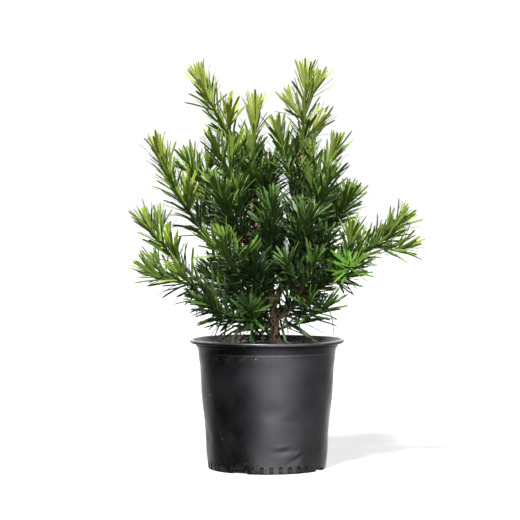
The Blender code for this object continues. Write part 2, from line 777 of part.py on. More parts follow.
def main():
    for made in list(bpy.data.objects):
        bpy.data.objects.remove(made)
    make_pot()
    make_mix()
    lines = limb_lines()
    make_limbs(lines)
    make_foliage(lines)


main()
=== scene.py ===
"""A young podocarpus in a black nursery pot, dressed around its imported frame.

The frame holds the plant's solids in metres, with the pot's underside on the ground at the origin
and the front towards -Y. Every piece here stands where its solid stands, and is finer than it.
"""

import math
import random
from typing import NamedTuple

import bpy
import numpy as np
from mathutils import Matrix, Vector, noise


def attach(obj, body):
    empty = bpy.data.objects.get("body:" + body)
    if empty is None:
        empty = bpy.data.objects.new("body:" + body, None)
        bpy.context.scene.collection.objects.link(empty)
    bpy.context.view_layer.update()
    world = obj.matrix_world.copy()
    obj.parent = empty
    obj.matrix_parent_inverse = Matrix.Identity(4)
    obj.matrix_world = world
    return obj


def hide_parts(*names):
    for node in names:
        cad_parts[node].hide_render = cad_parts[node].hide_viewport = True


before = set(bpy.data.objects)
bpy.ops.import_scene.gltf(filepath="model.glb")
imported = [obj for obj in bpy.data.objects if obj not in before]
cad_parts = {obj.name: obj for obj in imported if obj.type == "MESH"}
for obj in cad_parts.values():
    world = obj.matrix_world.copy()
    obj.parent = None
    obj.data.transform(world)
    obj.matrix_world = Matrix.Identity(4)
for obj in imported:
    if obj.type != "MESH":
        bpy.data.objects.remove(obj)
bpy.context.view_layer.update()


# The pot is one thin moulding of black plastic with a rolled rim and a flared collar. It has been
# handled and filled: the wall is a little out of true, dented low on the front, and dusty.
POT_SPOKES = 216
WALL_STEPS = 64
RIM_STEPS = 3
SHARP_FROM = math.radians(40)
WALL = 0.0015
FLOOR = 0.0022
FOOT_RADIUS = 0.1072
SHOULDER_RADIUS = 0.1243
SHOULDER_HEIGHT = 0.2070
COLLAR_RADIUS = 0.1282
COLLAR_HEIGHT = 0.2225
POT_HEIGHT = 0.2360
MOUTH_RADIUS = 0.1335

# The section's outlines, as radius and height, from the underside out and over the rim
UNDERSIDE = [(0.0, 0.0), (0.05, 0.0), (0.098, 0.0), (0.1052, 0.0), (0.1066, 0.0006), (0.1073, 0.0020)]
WALL_STARTS = 0.003
SHOULDER_BEAD = [(0.1244, 0.2085), (0.1247, 0.2101), (0.1248, 0.2115), (0.1246, 0.2130)]
COLLAR = [(0.1248, 0.2150), (0.1259, 0.2180), (0.1271, 0.2210), (0.1280, 0.2230)]
COLLAR_BEAD = [(0.1291, 0.2239), (0.1294, 0.2247), (0.1288, 0.2255)]
RIM_BELOW = [(0.1297, 0.2267), (0.1316, 0.2280), (0.1342, 0.2288), (0.1374, 0.2290)]
RIM_ROLL = [(0.1393, 0.2299), (0.1400, 0.2316), (0.1400, 0.2336), (0.1391, 0.2353), (0.1374, 0.2360)]
RIM_INSIDE = [(0.1352, 0.2360), (0.1338, 0.2352), (0.1328, 0.2334), (0.1310, 0.2298)]
COLLAR_INSIDE = [(0.1289, 0.2258), (0.1267, 0.2222)]
FLOOR_RADII = (0.1056, 0.098, 0.05, 0.0)

# How far the wall, its roundness and the rim's level wander
WALL_WAVE = 0.0016
WAVES_ROUND = 2.1
WAVES_UP = 9
WAVE_FADE_AT_FOOT = 0.012
WAVE_FADE_AT_SHOULDER = 0.015
OUT_OF_ROUND = 0.0022
OUT_OF_ROUND_TURN = 0.6
RIM_WAVE = 0.00060
RIM_WAVE_TURN = 1.0
RIM_WAVE_FROM = 0.2
RIM_WAVE_RISE = 0.036


class Dent(NamedTuple):
    """A dent in the pot's wall: where it is, how far it spreads along its own slant, and its depth."""

    angle: float
    height: float
    long: float
    short: float
    slant: float
    depth: float


DENTS = [
    Dent(-77, 0.0480, 0.0120, 0.0030, 3, -0.0012),
    Dent(-74, 0.0415, 0.0180, 0.0055, 2, 0.0020),
    Dent(-61, 0.0345, 0.0110, 0.0034, 34, -0.0014),
    Dent(-63, 0.0270, 0.0150, 0.0070, 32, 0.0018),
    Dent(-84, 0.1120, 0.0260, 0.0130, 8, 0.0013),
    Dent(-70, 0.0960, 0.0200, 0.0090, -6, 0.0010),
    Dent(35, 0.0800, 0.0180, 0.0090, 20, 0.0016),
    Dent(120, 0.1500, 0.0240, 0.0140, -30, 0.0014),
    Dent(200, 0.0600, 0.0150, 0.0100, 10, 0.0013),
]


def wall_radius(height):
    """The outside radius of the tapered wall at a height."""
    return FOOT_RADIUS + (SHOULDER_RADIUS - FOOT_RADIUS) * height / SHOULDER_HEIGHT


def dented(angle, height):
    """How far the wall is pushed in or out at an angle and a height."""
    where = Vector((math.cos(angle), math.sin(angle), height * WAVES_UP)) * WAVES_ROUND
    shift = noise.noise(where) * WALL_WAVE
    for dent in DENTS:
        turn = (angle - math.radians(dent.angle) + math.pi) % math.tau - math.pi
        along, up = turn * wall_radius(height), height - dent.height
        slant = math.radians(dent.slant)
        long = (along * math.cos(slant) + up * math.sin(slant)) / dent.long
        short = (up * math.cos(slant) - along * math.sin(slant)) / dent.short
        shift -= dent.depth * math.exp(-long * long - short * short)
    below_shoulder = max(0.0, (SHOULDER_HEIGHT - height) / WAVE_FADE_AT_SHOULDER)
    return shift * min(1.0, height / WAVE_FADE_AT_FOOT, below_shoulder)


def smooth_through(points, steps):
    """More points on a smooth curve through the given ones."""
    padded = [points[0], *points, points[-1]]
    found = []
    for four in zip(padded, padded[1:], padded[2:], padded[3:]):
        for step in range(steps):
            found.append(tuple(curve_between(*ends, step / steps) for ends in zip(*four)))
    return found + [points[-1]]


def curve_between(before, start, end, after, share):
    """A value on the smooth curve from start to end, which also bends to the values on either side."""
    square = (2 * before - 5 * start + 4 * end - after) * share * share
    cube = (3 * start - before - 3 * end + after) * share**3
    return 0.5 * (2 * start + (end - before) * share + square + cube)


def pot_section():
    """The pot's section from the middle of the underside, up the outside and down the inside."""
    heights = [SHOULDER_HEIGHT * (step + 1) / WALL_STEPS for step in range(WALL_STEPS)]
    wall = [(wall_radius(height), height) for height in heights if height > WALL_STARTS]
    rim = SHOULDER_BEAD + COLLAR + COLLAR_BEAD + RIM_BELOW + RIM_ROLL + RIM_INSIDE + COLLAR_INSIDE
    inside = [(radius - WALL, height) for radius, height in reversed(wall)]
    floor = [(radius, FLOOR) for radius in FLOOR_RADII]
    return UNDERSIDE + wall + smooth_through(rim, RIM_STEPS) + inside + floor


def mesh_of(name, points, faces, smooth=True):
    """A mesh of points and faces, which is smooth unless it is told otherwise."""
    mesh = bpy.data.meshes.new(name)
    mesh.from_pydata(points, [], faces)
    if smooth:
        mesh.shade_smooth()
    return mesh


def turned_mesh(name, section, spokes, place):
    """A closed body turned about Z; place moves each point of it a little."""
    points, rings, faces = [], [], []
    for radius, height in section:
        if radius == 0.0:
            rings.append([len(points)] * spokes)
            points.append((0.0, 0.0, height))
            continue
        rings.append(list(range(len(points), len(points) + spokes)))
        points += [place(radius, height, math.tau * spoke / spokes) for spoke in range(spokes)]
    for lower, upper in zip(rings, rings[1:]):
        for spoke in range(spokes):
            after = (spoke + 1) % spokes
            corners = (lower[spoke], lower[after], upper[after], upper[spoke])
            faces.append(tuple(dict.fromkeys(corners)))
    return mesh_of(name, points, faces)


def pot_place(radius, height, angle):
    """A point of the pot: the wall is dented and out of round, and the rim out of level."""
    on_wall = radius > FLOOR_RADII[1] and height < SHOULDER_HEIGHT
    out = 1.0 + OUT_OF_ROUND * math.sin(2 * angle + OUT_OF_ROUND_TURN) * (height / POT_HEIGHT)
    rise = max(0.0, (height - RIM_WAVE_FROM) / RIM_WAVE_RISE)
    drop = RIM_WAVE * (1.0 - math.sin(3 * angle + RIM_WAVE_TURN)) * rise**2
    reach = (radius + (dented(angle, height) if on_wall else 0.0)) * out
    return (reach * math.cos(angle), reach * math.sin(angle), height - drop)


def new_piece(name, mesh, *materials):
    piece = bpy.data.objects.new(name, mesh)
    bpy.context.scene.collection.objects.link(piece)
    for material in materials:
        mesh.materials.append(material)
    return piece


# The drain openings are rows of slots through the foot of the wall, with a low arch between each two
# rows. All of them are cut at once, by bars that are drawn outwards through the wall.
FEET = 4
SLOTS_IN_FOOT = 6
SLOT_PITCH = math.radians(9)
FIRST_SLOT = math.radians(-95)
SLOT_WIDTH = 0.0072
SLOT_TOP = 0.0138
SLOT_CUT = 4 * WALL
ARCH_WIDTH = 0.0300
ARCH_TOP = 0.0064
ARCH_FLOOR_CUT = 0.0150
ARCH_ROUND_STEPS = 6
CORNER_SHARE = 0.9


def opening_outline(width, bottom, top):
    """The outline of an opening with a rounded top, as places across it and heights."""
    corner = min(width / 2, top - max(bottom, 0.0)) * CORNER_SHARE
    outline = [(-width / 2, bottom), (width / 2, bottom)]
    for middle, first in ((width / 2 - corner, 0), (corner - width / 2, 90)):
        for step in range(ARCH_ROUND_STEPS + 1):
            angle = math.radians(first + 90 * step / ARCH_ROUND_STEPS)
            outline.append((middle + corner * math.cos(angle), top - corner + corner * math.sin(angle)))
    return outline


def drain_cutter():
    """The bars that cut all the slots and arches, each an outline drawn outwards."""
    slot = opening_outline(SLOT_WIDTH, FLOOR, SLOT_TOP)
    arch = opening_outline(ARCH_WIDTH, -ARCH_TOP, ARCH_TOP)
    bars = []
    for foot in range(FEET):
        first = FIRST_SLOT + foot * math.tau / FEET
        row = [first + place * SLOT_PITCH for place in range(SLOTS_IN_FOOT)]
        bars += [(angle, slot, FOOT_RADIUS - SLOT_CUT) for angle in row]
        bars.append(((row[-1] + first + math.tau / FEET) / 2, arch, FOOT_RADIUS - ARCH_FLOOR_CUT))
    points, faces = [], []
    for angle, outline, start in bars:
        outward = Vector((math.cos(angle), math.sin(angle), 0.0))
        along = Vector((-outward.y, outward.x, 0.0))
        first, count = len(points), len(outline)
        for reach in (start, FOOT_RADIUS + ARCH_FLOOR_CUT):
            points += [outward * reach + along * over + Vector((0, 0, up)) for over, up in outline]
        faces.append(tuple(range(first + count - 1, first - 1, -1)))
        faces.append(tuple(range(first + count, first + 2 * count)))
        for corner in range(first, first + count):
            after = first + (corner + 1 - first) % count
            faces.append((corner, after, after + count, corner + count))
    return new_piece("drain_cutter", mesh_of("drain_cutter", points, faces, smooth=False))


def apply_modifiers(piece):
    graph = bpy.context.evaluated_depsgraph_get()
    old = piece.data
    piece.data = bpy.data.meshes.new_from_object(piece.evaluated_get(graph))
    piece.modifiers.clear()
    bpy.data.meshes.remove(old)


def link_nodes(tree, *joints):
    """Links sockets in a node tree, given as (from_node, output, to_node, input)."""
    for source, output, target, entry in joints:
        tree.links.new(source.outputs[output], target.inputs[entry])


FLOAT, VECTOR = "NodeSocketFloat", "NodeSocketVector"


def new_group(name, inputs, output):
    """An empty shader node group with named inputs (name, type, value) and one named output."""
    group = bpy.data.node_groups.new(name, "ShaderNodeTree")
    for title, kind, value in inputs:
        group.interface.new_socket(title, in_out="INPUT", socket_type=kind).default_value = value
    group.interface.new_socket(output, in_out="OUTPUT", socket_type=FLOAT)
    return group, group.nodes.new("NodeGroupInput"), group.nodes.new("NodeGroupOutput")


NOISE_LOW, NOISE_HIGH = 0.32, 0.68


def mottle_group():
    """Soft uneven patches: noise of a scale and stretch, spread between a low and a high value."""
    stretch_none = ("Stretch", VECTOR, (1.0, 1.0, 1.0))
    ends = (("Low", FLOAT, 0.0), ("High", FLOAT, 1.0))
    inputs = [("Scale", FLOAT, 30.0), stretch_none, ("Detail", FLOAT, 3.0), *ends]
    group, into, out = new_group("mottle", inputs, "Value")
    place = group.nodes.new("ShaderNodeTexCoord")
    stretch = group.nodes.new("ShaderNodeVectorMath")
    stretch.operation = "MULTIPLY"
    patches = group.nodes.new("ShaderNodeTexNoise")
    spread = group.nodes.new("ShaderNodeMapRange")
    spread.inputs["From Min"].default_value = NOISE_LOW
    spread.inputs["From Max"].default_value = NOISE_HIGH
    link_nodes(
        group,
        (place, "Object", stretch, 0),
        (into, "Stretch", stretch, 1),
        (stretch, "Vector", patches, "Vector"),
        (into, "Scale", patches, "Scale"),
        (into, "Detail", patches, "Detail"),
        (patches, "Fac", spread, "Value"),
        (into, "Low", spread, "To Min"),
        (into, "High", spread, "To Max"),
        (spread, "Result", out, "Value"),
    )
    return group


def height_group():
    """A mask that rises from 0 to 1 between two heights above the ground."""
    inputs = [("From", FLOAT, 0.0), ("To", FLOAT, 0.1)]
    group, into, out = new_group("height_mask", inputs, "Mask")
    place = group.nodes.new("ShaderNodeTexCoord")
    split = group.nodes.new("ShaderNodeSeparateXYZ")
    spread = group.nodes.new("ShaderNodeMapRange")
    link_nodes(
        group,
        (place, "Object", split, "Vector"),
        (split, "Z", spread, "Value"),
        (into, "From", spread, "From Min"),
        (into, "To", spread, "From Max"),
        (spread, "Result", out, "Mask"),
    )
    return group


MOTTLE = mottle_group()
HEIGHT_MASK = height_group()


def use_group(tree, group, **values):
    """The output of a node group placed in a tree with its own values."""
    node = tree.nodes.new("ShaderNodeGroup")
    node.node_tree = group
    for title, value in values.items():
        node.inputs[title].default_value = value
    return node.outputs[0]


def new_material(name, colour, roughness, **sockets):
    """A Principled material with its plain values set on the shader's own sockets."""
    material = bpy.data.materials.new(name)
    material.use_nodes = True
    tree = material.node_tree
    shader = tree.nodes["Principled BSDF"]
    shader.inputs["Base Color"].default_value = (*colour, 1.0)
    shader.inputs["Roughness"].default_value = roughness
    for title, value in sockets.items():
        shader.inputs[title.replace("_", " ")].default_value = value
    return material, tree, shader


# Where a colour mix node takes its two colours and gives the mixed one
COLOUR_BELOW, COLOUR_ABOVE, COLOUR_MIXED = 6, 7, 2


def mix_colours(tree, below, above, mask):
    """The output of a colour mix; below and above are each a plain colour or an output."""
    node = tree.nodes.new("ShaderNodeMix")
    node.data_type = "RGBA"
    for entry, value in ((COLOUR_BELOW, below), (COLOUR_ABOVE, above)):
        if isinstance(value, tuple):
            node.inputs[entry].default_value = (*value, 1.0)
        else:
            tree.links.new(value, node.inputs[entry])
    tree.links.new(mask, node.inputs[0])
    return node.outputs[COLOUR_MIXED]


def reckon(tree, operation, first, second):
    """The output of a sum on two values, each a number or an output."""
    node = tree.nodes.new("ShaderNodeMath")
    node.operation = operation
    for entry, value in enumerate((first, second)):
        if isinstance(value, float):
            node.inputs[entry].default_value = value
        else:
            tree.links.new(value, node.inputs[entry])
    return node.outputs[0]


def spread_out(tree, source, *ends):
    """A value's range, from the first two ends, spread over the next two or from 0 to 1."""
    node = tree.nodes.new("ShaderNodeMapRange")
    tree.links.new(source, node.inputs["Value"])
    for title, value in zip(("From Min", "From Max", "To Min", "To Max"), ends):
        node.inputs[title].default_value = value
    return node.outputs["Result"]


def bump_from(tree, shader, height, distance, strength=1.0):
    """Gives a shader fine relief from an output that stands for height."""
    bump = tree.nodes.new("ShaderNodeBump")
    bump.inputs["Distance"].default_value = distance
    bump.inputs["Strength"].default_value = strength
    tree.links.new(height, bump.inputs["Height"])
    tree.links.new(bump.outputs["Normal"], shader.inputs["Normal"])


POT_BLACK = (0.0018, 0.0018, 0.0021)
POT_SHEEN_TINT = (0.91, 0.89, 1.00, 1.00)
POT_DUST = (0.060, 0.055, 0.050)
POT_MUD = (0.060, 0.046, 0.032)
POT_SMUDGE = (0.10, 0.09, 0.075)
POT_SPECK = (0.42, 0.40, 0.36)
SMUDGE_STRENGTH = 0.30
SPECKS_IN_METRE = 70.0
SPECK_EDGE, SPECK_MIDDLE = 0.085, 0.055


def pot_material():
    """Satin black plastic with a film of dust, mud at its foot, smudges by its collar, and specks."""
    material, tree, shader = new_material(
        "pot_black_plastic", POT_BLACK, 0.4, Specular_Tint=POT_SHEEN_TINT
    )
    film = use_group(tree, MOTTLE, Scale=26.0, Detail=6.0, Low=0.0, High=0.045, Stretch=(1.0, 1.0, 0.35))
    splash = use_group(tree, MOTTLE, Scale=150.0, Detail=6.0, Low=-0.9, High=1.0)
    foot = use_group(tree, HEIGHT_MASK, From=0.030, To=0.0)
    collar = use_group(tree, HEIGHT_MASK, From=0.185, To=0.225)
    dusty = mix_colours(tree, POT_BLACK, POT_DUST, film)
    muddy = mix_colours(tree, dusty, POT_MUD, reckon(tree, "MULTIPLY", splash, foot))
    faint = reckon(tree, "MULTIPLY", reckon(tree, "MULTIPLY", splash, collar), SMUDGE_STRENGTH)
    smudged = mix_colours(tree, muddy, POT_SMUDGE, faint)
    place = tree.nodes.new("ShaderNodeTexCoord")
    specks = tree.nodes.new("ShaderNodeTexVoronoi")
    specks.inputs["Scale"].default_value = SPECKS_IN_METRE
    tree.links.new(place.outputs["Object"], specks.inputs["Vector"])
    dots = spread_out(tree, specks.outputs["Distance"], SPECK_EDGE, SPECK_MIDDLE)
    rare = use_group(tree, MOTTLE, Scale=19.0, Detail=1.0, Low=-14.0, High=1.0)
    speckled = mix_colours(tree, smudged, POT_SPECK, reckon(tree, "MULTIPLY", dots, rare))
    sheen = use_group(tree, MOTTLE, Scale=22.0, Detail=5.0, Low=0.22, High=0.42)
    grain = use_group(tree, MOTTLE, Scale=700.0, Detail=3.0, Low=0.0, High=1.0)
    tree.links.new(speckled, shader.inputs["Base Color"])
    tree.links.new(sheen, shader.inputs["Roughness"])
    bump_from(tree, shader, grain, distance=0.00006, strength=0.5)
    return material


pot = new_piece("pot_shell", turned_mesh("pot_shell", pot_section(), POT_SPOKES, pot_place), pot_material())
drains = drain_cutter()
opened = pot.modifiers.new("drains", "BOOLEAN")
opened.operation = "DIFFERENCE"
opened.solver = "EXACT"
opened.object = drains
apply_modifiers(pot)
bpy.data.objects.remove(drains)
pot.data.set_sharp_from_angle(angle=SHARP_FROM)
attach(pot, "root")
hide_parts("pot")


# The potting mix is chipped pine bark and peat, pressed level with the collar and heaped a little at
# the trunk. It was poured in and settled, so it fills the pot and shows behind the drain slots.
MIX_EDGE_HEIGHT = 0.2225
MIX_HEAP = 0.0055
MIX_HEAP_TOP = 0.02
MIX_HEAP_REACH = 0.09
MIX_HEAP_CURVE = 1.5
MIX_BELOW_CHIPS = 0.0012
MIX_ROUGHNESS = 0.0016
MIX_WALL_PITS = 0.0012
MIX_GAP = 0.0004
MIX_BOTTOM = 0.0027
MIX_SPOKES = 144
MIX_TOP_RINGS = 44
PITS_IN_METRE = 160
GRIT_IN_METRE = 210
FINE_GRIT_IN_METRE = 420
FINE_GRIT = 0.6
CRUMB_FINENESS = 3.5
CRUMB_RELIEF = 0.0008
# The peat's two tones are the peat's own dark brown with painted shade: they are darker than the chips, so
# that the mix seen behind the drain slots reads as shaded.
DARK_PEAT_AND_SHADE = (0.010, 0.008, 0.006)
PALE_PEAT_AND_SHADE = (0.046, 0.036, 0.027)
PEAT_PATCHES = 160.0
TRUNK_GAP = 0.0003
TRUNK_FOOT = Vector((0.0150, 0.0, MIX_EDGE_HEIGHT + MIX_HEAP + TRUNK_GAP))
TRUNK_CLEAR = 0.013

# The levels of the rings down the mix's side, which lie closer together behind the slots
MIX_LEVELS = [0.221, 0.214] + [0.003 * step for step in range(69, 6, -1)]
MIX_LEVELS += [0.001 * step for step in range(18, 2, -1)]


def mix_height(x, y):
    """The level of the mix at a place, heaped towards the trunk."""
    away = math.hypot(x - TRUNK_FOOT.x, y - TRUNK_FOOT.y)
    nearness = max(0.0, 1.0 - max(0.0, away - MIX_HEAP_TOP) / MIX_HEAP_REACH)
    return MIX_EDGE_HEIGHT + MIX_HEAP * nearness**MIX_HEAP_CURVE


def inner_radius(height):
    """The inside radius of the pot's wall and of its collar at a height."""
    if height < SHOULDER_HEIGHT:
        return wall_radius(height) - WALL
    share = (height - SHOULDER_HEIGHT) / (COLLAR_HEIGHT - SHOULDER_HEIGHT)
    return SHOULDER_RADIUS + (COLLAR_RADIUS - SHOULDER_RADIUS) * share - WALL


def mix_section():
    """The mix's section: its top from the middle out, then down the wall and back to the middle."""
    reach = inner_radius(MIX_EDGE_HEIGHT)
    top = [(reach * ring / MIX_TOP_RINGS, MIX_EDGE_HEIGHT) for ring in range(MIX_TOP_RINGS)]
    side = [(inner_radius(height) - MIX_GAP, height) for height in MIX_LEVELS]
    return top + side + [(0.0, MIX_BOTTOM)]


def mix_place(radius, height, angle):
    """A point of the mix: its top is gritty, and its side is pitted and follows the pot's dents."""
    x, y = radius * math.cos(angle), radius * math.sin(angle)
    if height < MIX_EDGE_HEIGHT:
        pits = MIX_WALL_PITS * abs(noise.noise(Vector((x, y, height)) * PITS_IN_METRE))
        inward = 1 - (pits - min(0.0, dented(angle, height))) / radius
        return (x * inward, y * inward, height)
    coarse = noise.noise(Vector((x, y, 0)) * GRIT_IN_METRE)
    grit = coarse + FINE_GRIT * noise.noise(Vector((x, y, 3)) * FINE_GRIT_IN_METRE)
    return (x, y, mix_height(x, y) - MIX_BELOW_CHIPS + MIX_ROUGHNESS * grit)


def mix_material(name, dark, light, scale):
    """Crumbly matt bark, peat or grit in two tones."""
    material, tree, shader = new_material(name, dark, 0.95)
    patches = use_group(tree, MOTTLE, Scale=scale, Detail=6.0)
    crumbs = use_group(tree, MOTTLE, Scale=scale * CRUMB_FINENESS, Detail=5.0)
    tree.links.new(mix_colours(tree, dark, light, patches), shader.inputs["Base Color"])
    bump_from(tree, shader, crumbs, CRUMB_RELIEF)
    return material


mix = new_piece(
    "mix_plug",
    turned_mesh("mix_plug", mix_section(), MIX_SPOKES, mix_place),
    mix_material("mix_peat", DARK_PEAT_AND_SHADE, PALE_PEAT_AND_SHADE, PEAT_PATCHES),
)
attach(mix, "root")
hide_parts("potting_mix")


# The chips are what lies loose on the mix: broken bits of brown, red and grey bark, and grains of white
# perlite. Each is a small slab of its own, a little tilted and partly sunk in the mix.
class Chips(NamedTuple):
    """A kind of chip lying on the mix: how many, its longest size, its shape and its two colours."""

    count: int
    size: float
    flatness: float
    slimness: float
    dark: tuple
    light: tuple


# The brown, red and grey chips' tones are partly painted light: their own bark colours, raised to stand for
# the light that the crown keeps off the mix.
CHIP_KINDS = {
    "chips_brown": Chips(1700, 0.0105, 0.22, 0.42, (0.090, 0.070, 0.052), (0.250, 0.200, 0.150)),
    "chips_red": Chips(300, 0.0120, 0.20, 0.40, (0.070, 0.042, 0.026), (0.150, 0.092, 0.058)),
    "chips_grey": Chips(1000, 0.0110, 0.20, 0.36, (0.210, 0.195, 0.165), (0.440, 0.410, 0.350)),
    "chips_perlite": Chips(130, 0.0032, 0.80, 0.85, (0.420, 0.410, 0.380), (0.640, 0.630, 0.600)),
}
CHIP_ROUND = [(-1, -1), (1, -1), (1, 1), (-1, 1)]
CHIP_CORNERS = np.array([(*corner, level) for level in (-1, 1) for corner in CHIP_ROUND])
CHIP_FACES = [(0, 3, 2, 1), (4, 5, 6, 7), (0, 1, 5, 4), (1, 2, 6, 5), (2, 3, 7, 6), (3, 0, 4, 7)]
CHIP_LENGTHS = (0.35, 1.0)
CHIP_WIDTHS = (0.6, 1.3)
CHIP_THICKNESSES = (0.6, 1.5)
CHIP_CHIPPING = (0.55, 1.1)
CHIP_TILT = 0.3
CHIP_LEVELS = (-0.0003, 0.0016)
CHIP_EDGE_CLEAR = 0.004
CHIP_PATCHES = 240.0
CHIP_SEED = 40


def chips_mesh(name, kind, chance):
    """Many small broken slabs, each a box with its corners pushed about, lying on the mix."""
    points, faces = [], []
    reach = inner_radius(MIX_EDGE_HEIGHT) - CHIP_EDGE_CLEAR
    while len(points) < kind.count * len(CHIP_CORNERS):
        x, y = chance.uniform(-reach, reach), chance.uniform(-reach, reach)
        from_trunk = math.hypot(x - TRUNK_FOOT.x, y)
        if math.hypot(x, y) > reach or from_trunk < TRUNK_CLEAR:
            continue
        long = kind.size * chance.uniform(*CHIP_LENGTHS) / 2
        wide = long * kind.slimness * chance.uniform(*CHIP_WIDTHS)
        size = np.array((long, wide, long * kind.flatness * chance.uniform(*CHIP_THICKNESSES)))
        chipping = np.array([[chance.uniform(*CHIP_CHIPPING) for _ in range(3)] for _ in CHIP_CORNERS])
        roll = Matrix.Rotation(chance.gauss(0, CHIP_TILT), 3, "X")
        tilt = roll @ Matrix.Rotation(chance.gauss(0, CHIP_TILT), 3, "Y")
        turn = np.array(Matrix.Rotation(chance.uniform(0, math.tau), 3, "Z") @ tilt)
        level = mix_height(x, y) - MIX_BELOW_CHIPS + chance.uniform(*CHIP_LEVELS) + size[2] * 0.5
        corners = (CHIP_CORNERS * chipping * size) @ turn.T + np.array((x, y, level))
        faces += [tuple(len(points) + corner for corner in face) for face in CHIP_FACES]
        points += [tuple(corner) for corner in corners]
    return mesh_of(name, points, faces, smooth=False)


for number, (name, kind) in enumerate(CHIP_KINDS.items()):
    chips = new_piece(
        name,
        chips_mesh(name, kind, random.Random(CHIP_SEED + number)),
        mix_material(name, kind.dark, kind.light, CHIP_PATCHES),
    )
    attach(chips, "root")
    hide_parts("potting_mix")


# The trunk, its twin stem and the boughs are one living skeleton of wood in thin brown bark, which
# is ridged along its length and comes away in small scales. Limbs swell a little where they join.
UP = Vector((0.0, 0.0, 1.0))
TRUNK_TIP = Vector((-0.0490, 0.010, 0.551))
TRUNK_RADIUS = 0.0075
TRUNK_TIP_RADIUS = 0.0029
TRUNK_UPTURN = -0.30
ROOT_FLARE = 0.0050
ROOT_FLARE_HEIGHT = 0.014
ROOT_LOBES = 4
ROOT_LOBE_DEPTH = 0.3
LIMB_RING_STEP = 0.0022
LIMB_SPOKES = 22
JOINT_SWELL = 0.30
JOINT_SWELL_LENGTH = 0.010

# The bark's relief as shares of a limb's radius, and how close its ridges, scales and swellings lie
BARK_RELIEF = 0.30
RIDGE_SHARE = 0.75
SCALE_SHARE = 0.40
LIMB_UNEVEN = 0.10
RIDGES_ROUND = 2.6
RIDGES_ALONG = 22
SCALES_IN_METRE = 520
SCALES_ROUND = 1.5
SWELLINGS_IN_METRE = 60
BARK_DEPTH_READ = 0.004
TIP_FADE = 9
TIP_FADE_END = 1.02


class Limb(NamedTuple):
    """A bare limb: what carries it and how far along, its tip, its two radii and how far it turns up."""

    carrier: str
    at: float
    tip: tuple
    radius: float
    tip_radius: float
    upturn: float


LIMBS = {
    "right_stem": Limb("trunk", 0.20, (0.063, -0.010, 0.549), 0.0055, 0.0028, 0.55),
    "bough_left_low": Limb("trunk", 0.08, (-0.114, -0.014, 0.335), 0.0045, 0.0029, 0.05),
    "bough_left_mid": Limb("trunk", 0.26, (-0.095, 0.030, 0.405), 0.0043, 0.0029, 0.05),
    "bough_left_inner": Limb("trunk", 0.42, (-0.090, 0.045, 0.470), 0.0036, 0.0028, 0.10),
    "bough_left_fringe": Limb("trunk", 0.12, (-0.082, -0.042, 0.318), 0.0036, 0.0028, 0.00),
    "bough_left_front": Limb("trunk", 0.19, (-0.042, -0.062, 0.345), 0.0038, 0.0028, 0.10),
    "bough_right_low": Limb("trunk", 0.13, (0.082, -0.012, 0.324), 0.0044, 0.0029, 0.10),
    "bough_right_fringe": Limb("trunk", 0.17, (0.090, -0.046, 0.330), 0.0036, 0.0028, 0.05),
    "bough_right_mid": Limb("right_stem", 0.16, (0.082, 0.012, 0.405), 0.0038, 0.0028, 0.10),
    "bough_back_left": Limb("trunk", 0.22, (-0.038, 0.072, 0.370), 0.0042, 0.0028, 0.10),
    "bough_back_right": Limb("right_stem", 0.10, (0.064, 0.074, 0.380), 0.0040, 0.0028, 0.10),
    "bough_back_low_left": Limb("trunk", 0.11, (-0.030, 0.070, 0.296), 0.0038, 0.0028, 0.05),
    "bough_back_low_right": Limb("trunk", 0.15, (0.058, 0.064, 0.302), 0.0038, 0.0028, 0.05),
}


def even_shares(count, first=0.0, last=1.0):
    return [first + (last - first) * index / count for index in range(count + 1)]


class Line:
    """A smooth line of growth from a foot to a tip, with a frame carried along it without twist."""

    FRAMES = 32

    def __init__(self, foot, tip, upturn, leaving=None):
        chord = (tip - foot).normalized()
        leaving = leaving or (chord - UP * upturn).normalized()
        arriving = (chord + UP * upturn).normalized()
        reach = (tip - foot).length / 3
        self.points = (foot, foot + leaving * reach, tip - arriving * reach, tip)
        self.sides = []
        side = leaving.orthogonal()
        for share in even_shares(self.FRAMES):
            heading = self.heading(share)
            side = (side - heading * side.dot(heading)).normalized()
            self.sides.append(side)
        marks = [self.at(share) for share in even_shares(self.FRAMES)]
        self.length = sum((after - mark).length for mark, after in zip(marks, marks[1:]))

    def at(self, share):
        rest = 1.0 - share
        foot, after_foot, before_tip, tip = self.points
        lower = foot * rest**3 + after_foot * (3 * rest**2 * share)
        return lower + before_tip * (3 * rest * share**2) + tip * share**3

    def heading(self, share):
        rest = 1.0 - share
        foot, after_foot, before_tip, tip = self.points
        lower = (after_foot - foot) * rest**2 + (before_tip - after_foot) * (2 * rest * share)
        return (lower + (tip - before_tip) * share**2).normalized()

    def spoke(self, share, angle):
        """A direction square to the line, at an angle round it."""
        heading = self.heading(share)
        side = self.sides[round(share * self.FRAMES)]
        side = (side - heading * side.dot(heading)).normalized()
        return Matrix.Rotation(angle, 3, heading) @ side

    def upper_angle(self, share):
        """The angle round the line at which a spoke points most nearly up."""
        ahead, across = self.spoke(share, 0.0), self.spoke(share, math.pi / 2)
        return math.atan2(across.z, ahead.z)

    def marks(self, step):
        """Places along the line, about a step apart."""
        return [self.at(share) for share in even_shares(max(2, math.ceil(self.length / step)))]


def line_from(lines, carrier, at, tip, upturn):
    """The line of what grows from a carrier: on from its end, or out of its side from its axis."""
    source = lines[carrier]
    leaving = source.heading(1.0) if at == 1.0 else None
    return Line(source.at(at), Vector(tip), upturn, leaving)


limb_lines = {"trunk": Line(TRUNK_FOOT, TRUNK_TIP, TRUNK_UPTURN, UP)}
for name, limb in LIMBS.items():
    limb_lines[name] = line_from(limb_lines, limb.carrier, limb.at, limb.tip, limb.upturn)


